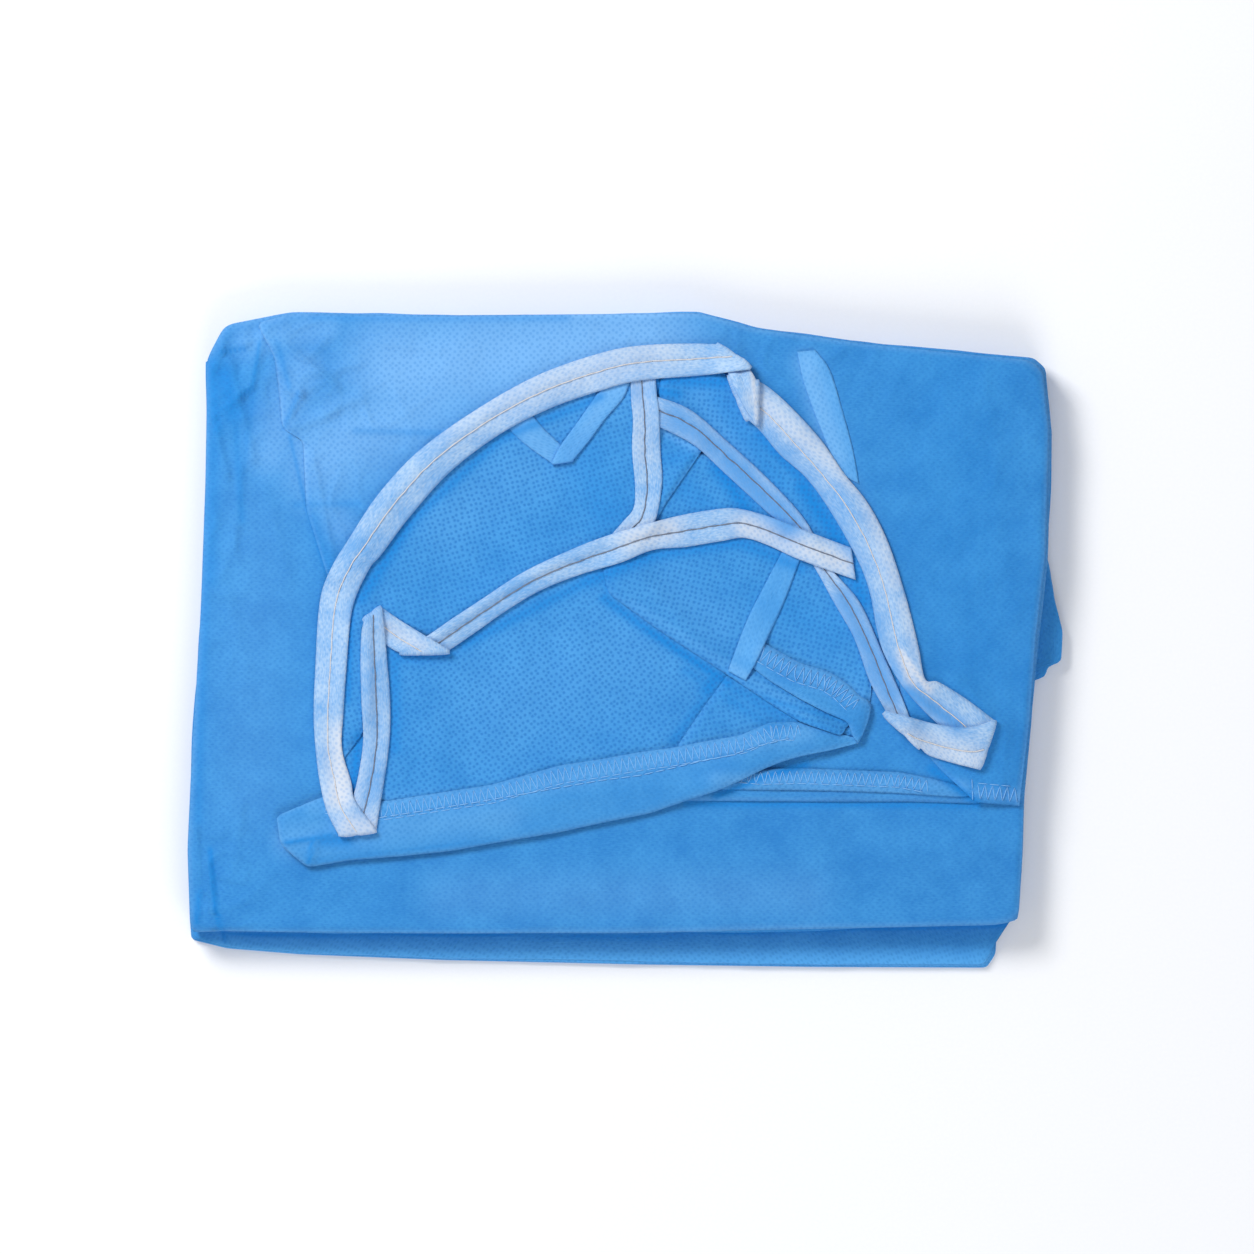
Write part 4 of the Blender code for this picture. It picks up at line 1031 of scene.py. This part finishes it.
def add_folded_stack(finish):
    """The hidden layers: rings from a point under the middle, up the plies and over the top."""
    upper = EDGE[:, :2]
    base = np.column_stack([upper, upper + EDGE[:, 2:4], upper + EDGE[:, 4:6]])
    smooth = softened_ring(base, PACKET_CORNER)
    count = 2 * int(line_length(smooth[:, :2]) / STACK_PITCH)
    smooth = resampled(closed_up(smooth), count + 1)[:-1]
    run = np.linspace(0.0, PACKET_GIRTH, count, endpoint=False)
    rings = ply_bands(smooth, run)
    rim = rings[-1][:, :2]
    for share in TOP_SHARES:
        ring = rim * share
        rings.append(np.column_stack([ring, stack_top(ring[:, 0], ring[:, 1])]))
    rings = np.array([rings[0] * (TOP_SHARES[-1], TOP_SHARES[-1], 1.0)] + rings)
    step = np.linalg.norm(np.diff(rings, axis=0, prepend=rings[:1]), axis=2).cumsum(axis=0)
    place = np.stack([np.broadcast_to(run, step.shape), step], axis=-1)
    obj = add_closed_skin("hidden_layers", rings, finish, place)
    dress(obj, "folded_body")
    return obj


def linear(hex_colour):
    """An sRGB hex colour as linear red, green, blue and alpha."""
    srgb = np.array([int(hex_colour[k : k + 2], 16) for k in (1, 3, 5)]) / 255
    rgb = np.where(srgb <= 0.04045, srgb / 12.92, ((srgb + 0.055) / 1.055) ** 2.4)
    return (*rgb, 1.0)


def add_node(tree, kind, inputs=None, output=0, **settings):
    """A shader node with its settings, its inputs set to values or linked. Returns one of its outputs."""
    node = tree.nodes.new("ShaderNode" + kind)
    for key, value in settings.items():
        setattr(node, key, value)
    for key, value in (inputs or {}).items():
        if isinstance(value, bpy.types.NodeSocket):
            tree.links.new(value, node.inputs[key])
        else:
            node.inputs[key].default_value = value
    return node.outputs[output]


def blank_material(name, values):
    """A new material, its node tree and its shader, with those values on the shader's own sockets."""
    made = bpy.data.materials.new(name)
    made.use_nodes = True
    shader = made.node_tree.nodes["Principled BSDF"]
    for socket, value in values.items():
        shader.inputs[socket].default_value = value
    return made, made.node_tree, shader


def nonwoven(name, colour, lighter, weld_colour, weld_share, pale_and_painted_light_colour, painted_shade_and_show_through_colour):
    """Spunbonded polypropylene cloth, 40 g per square metre: matted fibres, welded in small staggered dots.

    The fibres give a soft matt face with faint streaks and clouds. Each welded dot, 0.9 mm across and 1.7 mm
    from the next, is pressed in, and shows darker because it is clearer. The cloth lets light through and
    shows paler where it lies double. Painted light, where it lies up to the light, and painted shade, in its
    creases, come from two attributes; on the tape the deep one is partly the blue beneath showing through.
    """
    face = {"Roughness": 0.72, "Specular IOR Level": 0.25, "Sheen Weight": 0.12, "Sheen Roughness": 0.5}
    made, tree, shader = blank_material(name, face)
    place = add_node(tree, "UVMap", uv_map="cloth")
    diagonal = add_node(tree, "Mapping", {"Vector": place, "Rotation": (0.0, 0.0, WELD_TURN)})
    dots = {"Vector": diagonal, "Scale": 1 / WELD_PITCH, "Randomness": WELD_DISORDER}
    distance = add_node(tree, "TexVoronoi", dots, voronoi_dimensions="2D")
    edge = {"Value": distance, "From Min": WELD_RIM, "From Max": WELD_CORE}
    weld = add_node(tree, "MapRange", edge, interpolation_type="SMOOTHSTEP")
    stretch = {"Vector": place, "Rotation": (0.0, 0.0, FIBRE_TURN), "Scale": FIBRE_STRETCH}
    streaks = {"Vector": add_node(tree, "Mapping", stretch), "Scale": 1.0, "Detail": 5.0, "Roughness": 0.62}
    fibres = add_node(tree, "TexNoise", streaks, "Fac", noise_dimensions="2D")
    web = {"Vector": place, "Scale": 1 / CLOUD_PITCH, "Detail": 4.0, "Roughness": 0.6}
    clouds = add_node(tree, "TexNoise", web, "Fac", noise_dimensions="2D")
    depth = add_node(tree, "Math", {0: clouds, 1: fibres}, operation="ADD")
    spread = add_node(tree, "MapRange", {"Value": depth, "From Min": 0.72, "From Max": 1.28})
    pale_and_painted_light, painted_shade_and_show_through = (add_node(tree, "Attribute", output="Fac", attribute_name=key) for key in ("pale_and_painted_light", "painted_shade_and_show_through"))
    pressed = add_node(tree, "Math", {0: weld, 1: weld_share}, operation="MULTIPLY")
    cloth = linear(colour)
    # Mixed over the web: the pale colour (doubled cloth and painted light), the deep colour (painted shade,
    # on the tape partly the blue showing through), then the welded dots.
    for share, shade in ((spread, lighter), (pale_and_painted_light, pale_and_painted_light_colour), (painted_shade_and_show_through, painted_shade_and_show_through_colour), (pressed, weld_colour)):
        cloth = add_node(tree, "Mix", {0: share, 6: cloth, 7: linear(shade)}, 2, data_type="RGBA")
    tree.links.new(cloth, shader.inputs["Base Color"])
    pit = add_node(tree, "Math", {0: pressed, 1: -WELD_PIT}, operation="MULTIPLY")
    relief = add_node(tree, "Math", {0: fibres, 1: pit}, operation="ADD")
    bump = add_node(tree, "Bump", {"Height": relief, "Strength": FACE_STRENGTH, "Distance": FACE_RELIEF * MM})
    tree.links.new(bump, shader.inputs["Normal"])
    return made


def sewing_thread(name, colour):
    """Spun polyester thread, 0.3 to 0.4 mm thick, with a soft silky gloss. Its plies show every 0.5 mm, in
    bands of painted shade where the grooves between them lie.
    """
    made, tree, shader = blank_material(name, {"Roughness": 0.55})
    place = add_node(tree, "TexCoord", output="Object")
    twist = {"Vector": place, "Scale": THREAD_TWIST, "Distortion": 1.5}
    plies = add_node(tree, "TexWave", twist, "Fac", bands_direction="DIAGONAL")
    painted_groove_shade = tuple(PLY_GROOVE_PAINTED_SHADE * part for part in linear(colour)[:3]) + (1.0,)
    shade = add_node(tree, "Mix", {0: plies, 6: painted_groove_shade, 7: linear(colour)}, 2, data_type="RGBA")
    tree.links.new(shade, shader.inputs["Base Color"])
    return made


def studio_paper():
    """Matt white paper sweep under the object, with a faint tooth."""
    made, tree, shader = blank_material("matt_white_paper", {"Roughness": 0.9})
    place = add_node(tree, "TexCoord", output="Object")
    tooth = add_node(tree, "TexNoise", {"Vector": place, "Scale": 900.0, "Detail": 2.0}, "Fac")
    shade = add_node(tree, "Mix", {0: tooth, 6: linear("#f7f8fa"), 7: linear("#fcfcfd")}, 2, data_type="RGBA")
    tree.links.new(shade, shader.inputs["Base Color"])
    return made


def dress(obj, node, slot="gown_cloth", rim=0.0):
    """Puts a piece in a node's place, and sets at each vertex how pale and how deep its cloth shows: paleness
    where it lies double with painted light, and painted shade (on the tape partly the blue showing through).

    That is the highest bell curve there of the slot's lines. rim is how much paler its turned edges are.
    """
    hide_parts(node)
    points = np.empty(len(obj.data.vertices) * 3, np.float32)
    obj.data.vertices.foreach_get("co", points)
    x, y = points[0::3] / MM, points[1::3] / MM
    for attribute, lines, more in zip(("pale_and_painted_light", "painted_shade_and_show_through"), SHARE_LINES[slot], (rim, 0.0)):
        shares = np.clip(ridges(x, y, lines, np.maximum) + more, 0.0, 1.0)
        layer = obj.data.attributes.new(attribute, "FLOAT", "POINT")
        layer.data.foreach_set("value", shares.astype(np.float32))


def add_camera_and_lights():
    """A camera straight above, a large soft lamp to the upper left, one low in front and a pale room."""
    data = bpy.data.cameras.new("camera")
    data.lens = CAMERA_LENS
    data.sensor_width = 36.0
    data.clip_end = 20.0
    camera = bpy.data.objects.new("camera", data)
    camera.location = (CAMERA_X, CAMERA_Y, CAMERA_HEIGHT)
    bpy.context.scene.collection.objects.link(camera)
    bpy.context.scene.camera = camera
    for name, place, size, power in LAMPS:
        lamp = bpy.data.lights.new(name, "AREA")
        lamp.size = size
        lamp.energy = power
        obj = bpy.data.objects.new(name, lamp)
        obj.location = place
        obj.rotation_euler = (-Vector(place)).to_track_quat("-Z", "Y").to_euler()
        bpy.context.scene.collection.objects.link(obj)
    world = bpy.data.worlds.new("pale_room")
    world.use_nodes = True
    world.node_tree.nodes["Background"].inputs[0].default_value = linear("#f4f8ff")
    world.node_tree.nodes["Background"].inputs[1].default_value = ROOM_LIGHT
    bpy.context.scene.world = world
    bpy.context.scene.view_settings.view_transform = "Standard"


def add_floor():
    """A plain pale floor just under the packet."""
    steps = np.linspace(-FLOOR_HALF, FLOOR_HALF, 5)
    x, y = np.meshgrid(steps, steps, indexing="ij")
    points = np.stack([x, y, np.zeros_like(x)], axis=-1).reshape(-1, 3)
    faces = strip_faces(np.arange(25).reshape(5, 5), False)
    mesh = bpy.data.meshes.new("floor")
    mesh.from_pydata(points.tolist(), [], faces.tolist())
    mesh.materials.append(studio_paper())
    floor = bpy.data.objects.new("floor", mesh)
    bpy.context.scene.collection.objects.link(floor)


def lay_cloth(pile, outer, inner, hemmed, thread):
    """Lays the panels and the ties from the bottom up, and sews the hems.

    Returns each panel's piece and points, the threads on each panel, and the runs of each tie.
    """
    rim = softened_ring(EDGE[:, :2], PACKET_CORNER)
    rim = rim * (1.0 - RIM_INSET / np.linalg.norm(rim, axis=1, keepdims=True))
    panels, sewn, ties = {}, {}, {}

    def lay(name, edges, finish, angle=0.0, ridge_table=(), crumple_table=(), ring=False):
        panels[name] = panel(name, edges, pile, finish, angle, ridge_table, crumple_table, ring)

    def sew(panel_name, label, line, inward, depth):
        sewn[panel_name] = overlock(label + "_overlock", line, inward, depth, pile, thread)

    def stitch_down(panel_name, line):
        sewn[panel_name].append(hem_stitches(panel_name + "_stitches", line, pile, thread))

    def lay_tie(name, thickness):
        ties[name] = [tape_run(rows, pile, thickness) for rows in TIES[name]]

    lay("front_body", (rim, NECK_OPENING), outer, 0.0, BODY_RIDGES, BODY_CRUMPLES, ring=True)
    lay("side_panel", SIDE_PANEL, outer, 0.1)
    lay("side_hem", SIDE_HEM, hemmed, 0.1)
    sew("side_hem", "side", SIDE_HEM[1][:6], -1.0, 5.0)
    lay("left_sleeve", LEFT_SLEEVE, inner, 0.15)
    lay("left_sleeve_fold", LEFT_SLEEVE_FOLD, inner, 0.6)
    lay("left_sleeve_hem", LEFT_SLEEVE_HEM, hemmed, 0.15, LEFT_HEM_RIDGES)
    sew("left_sleeve_hem", "left_sleeve", LEFT_SLEEVE_HEM[1][2:14], -1.0, 6.0)
    lay("right_sleeve", RIGHT_SLEEVE, inner, -0.55)
    lay("right_sleeve_hem", RIGHT_SLEEVE_HEM, hemmed, -0.55)
    stitch_down("left_sleeve_hem", LEFT_HEM_SEAM)
    sew("right_sleeve_hem", "right_sleeve", RIGHT_SLEEVE_HEM[1][:6], -1.0, 6.5)
    lay_tie("waist_tie", TIE)
    lay("left_back", LEFT_BACK, inner, 0.5)
    lay_tie("back_tie", TIE)
    lay("right_back", RIGHT_BACK, inner, -0.7)
    lay("front_shoulder", SHOULDER, outer, 0.0, SHOULDER_RIDGES, SHOULDER_CRUMPLES)
    sew("front_shoulder", "front_shoulder", SHOULDER_HEM, 1.0, 6.0)
    stitch_down("front_shoulder", SHOULDER_SEAM)
    lay_tie("front_tie", FLAT_TIE)
    return panels, sewn, ties


def add_binding(pile, finish, threads):
    """The neck tie and the neck binding, the seam along each run, and the needle holes of the pale thread."""
    runs = {}
    for name, (share, _) in SEAMS.items():
        rows, thickness = (TIES[name][0], TIE) if name == "neck_tie" else (BINDING[name], TAPE)
        runs[name] = tape_run(rows, pile, thickness, share)
    binding_runs = [runs[name] for name in BINDING]
    pieces = {}
    for name, tape_runs in (("neck_tie", [runs["neck_tie"]]), ("neck_binding", binding_runs)):
        pieces[name] = add_tape(name + "_cloth", tape_runs, finish)
        dress(pieces[name], name, "binding_tape")
    for name, (share, colour) in SEAMS.items():
        if colour is None:
            continue
        at = share * (TAPE_POINTS - 1)
        low, part = int(at), at - int(at)
        line = runs[name][1][:, low] * (1 - part) + runs[name][1][:, low + 1] * part
        add_threads("seam_" + name, lockstitch(line, SEAM_LIFT), THREAD, threads[colour])
        if colour == "ecru":
            holes = stitches(line, HOLE_LIFT, stitch=STITCH_SPACE, space=STITCH, start=STITCH)
            add_threads("seam_" + name + "_holes", holes, THREAD, threads["grey"])


def main():
    finishes = {name: nonwoven("spunbond_" + name, *colours) for name, colours in CLOTH_FINISHES.items()}
    threads = {
        "grey": sewing_thread("grey_polyester_thread", "#747b8c"),
        "ecru": sewing_thread("ecru_polyester_thread", "#e2ddda"),
    }
    overlock_thread = sewing_thread("pale_blue_overlock_thread", "#84c4fa")

    stack = add_folded_stack(finishes["cloth_folds"])
    pile = Pile(stack_top(GRID_X, GRID_Y) + GAP)
    cloths = (finishes[name] for name in ("cloth_outside", "cloth_inside", "cloth_hem"))
    panels, sewn, ties = lay_cloth(pile, *cloths, overlock_thread)
    for name, runs in ties.items():
        obj = add_tape(name + "_cloth", runs, finishes["tie_strip"])
        dress(obj, name)
    add_binding(pile, finishes["binding_tape"], threads)

    add_floor()
    add_camera_and_lights()


main()
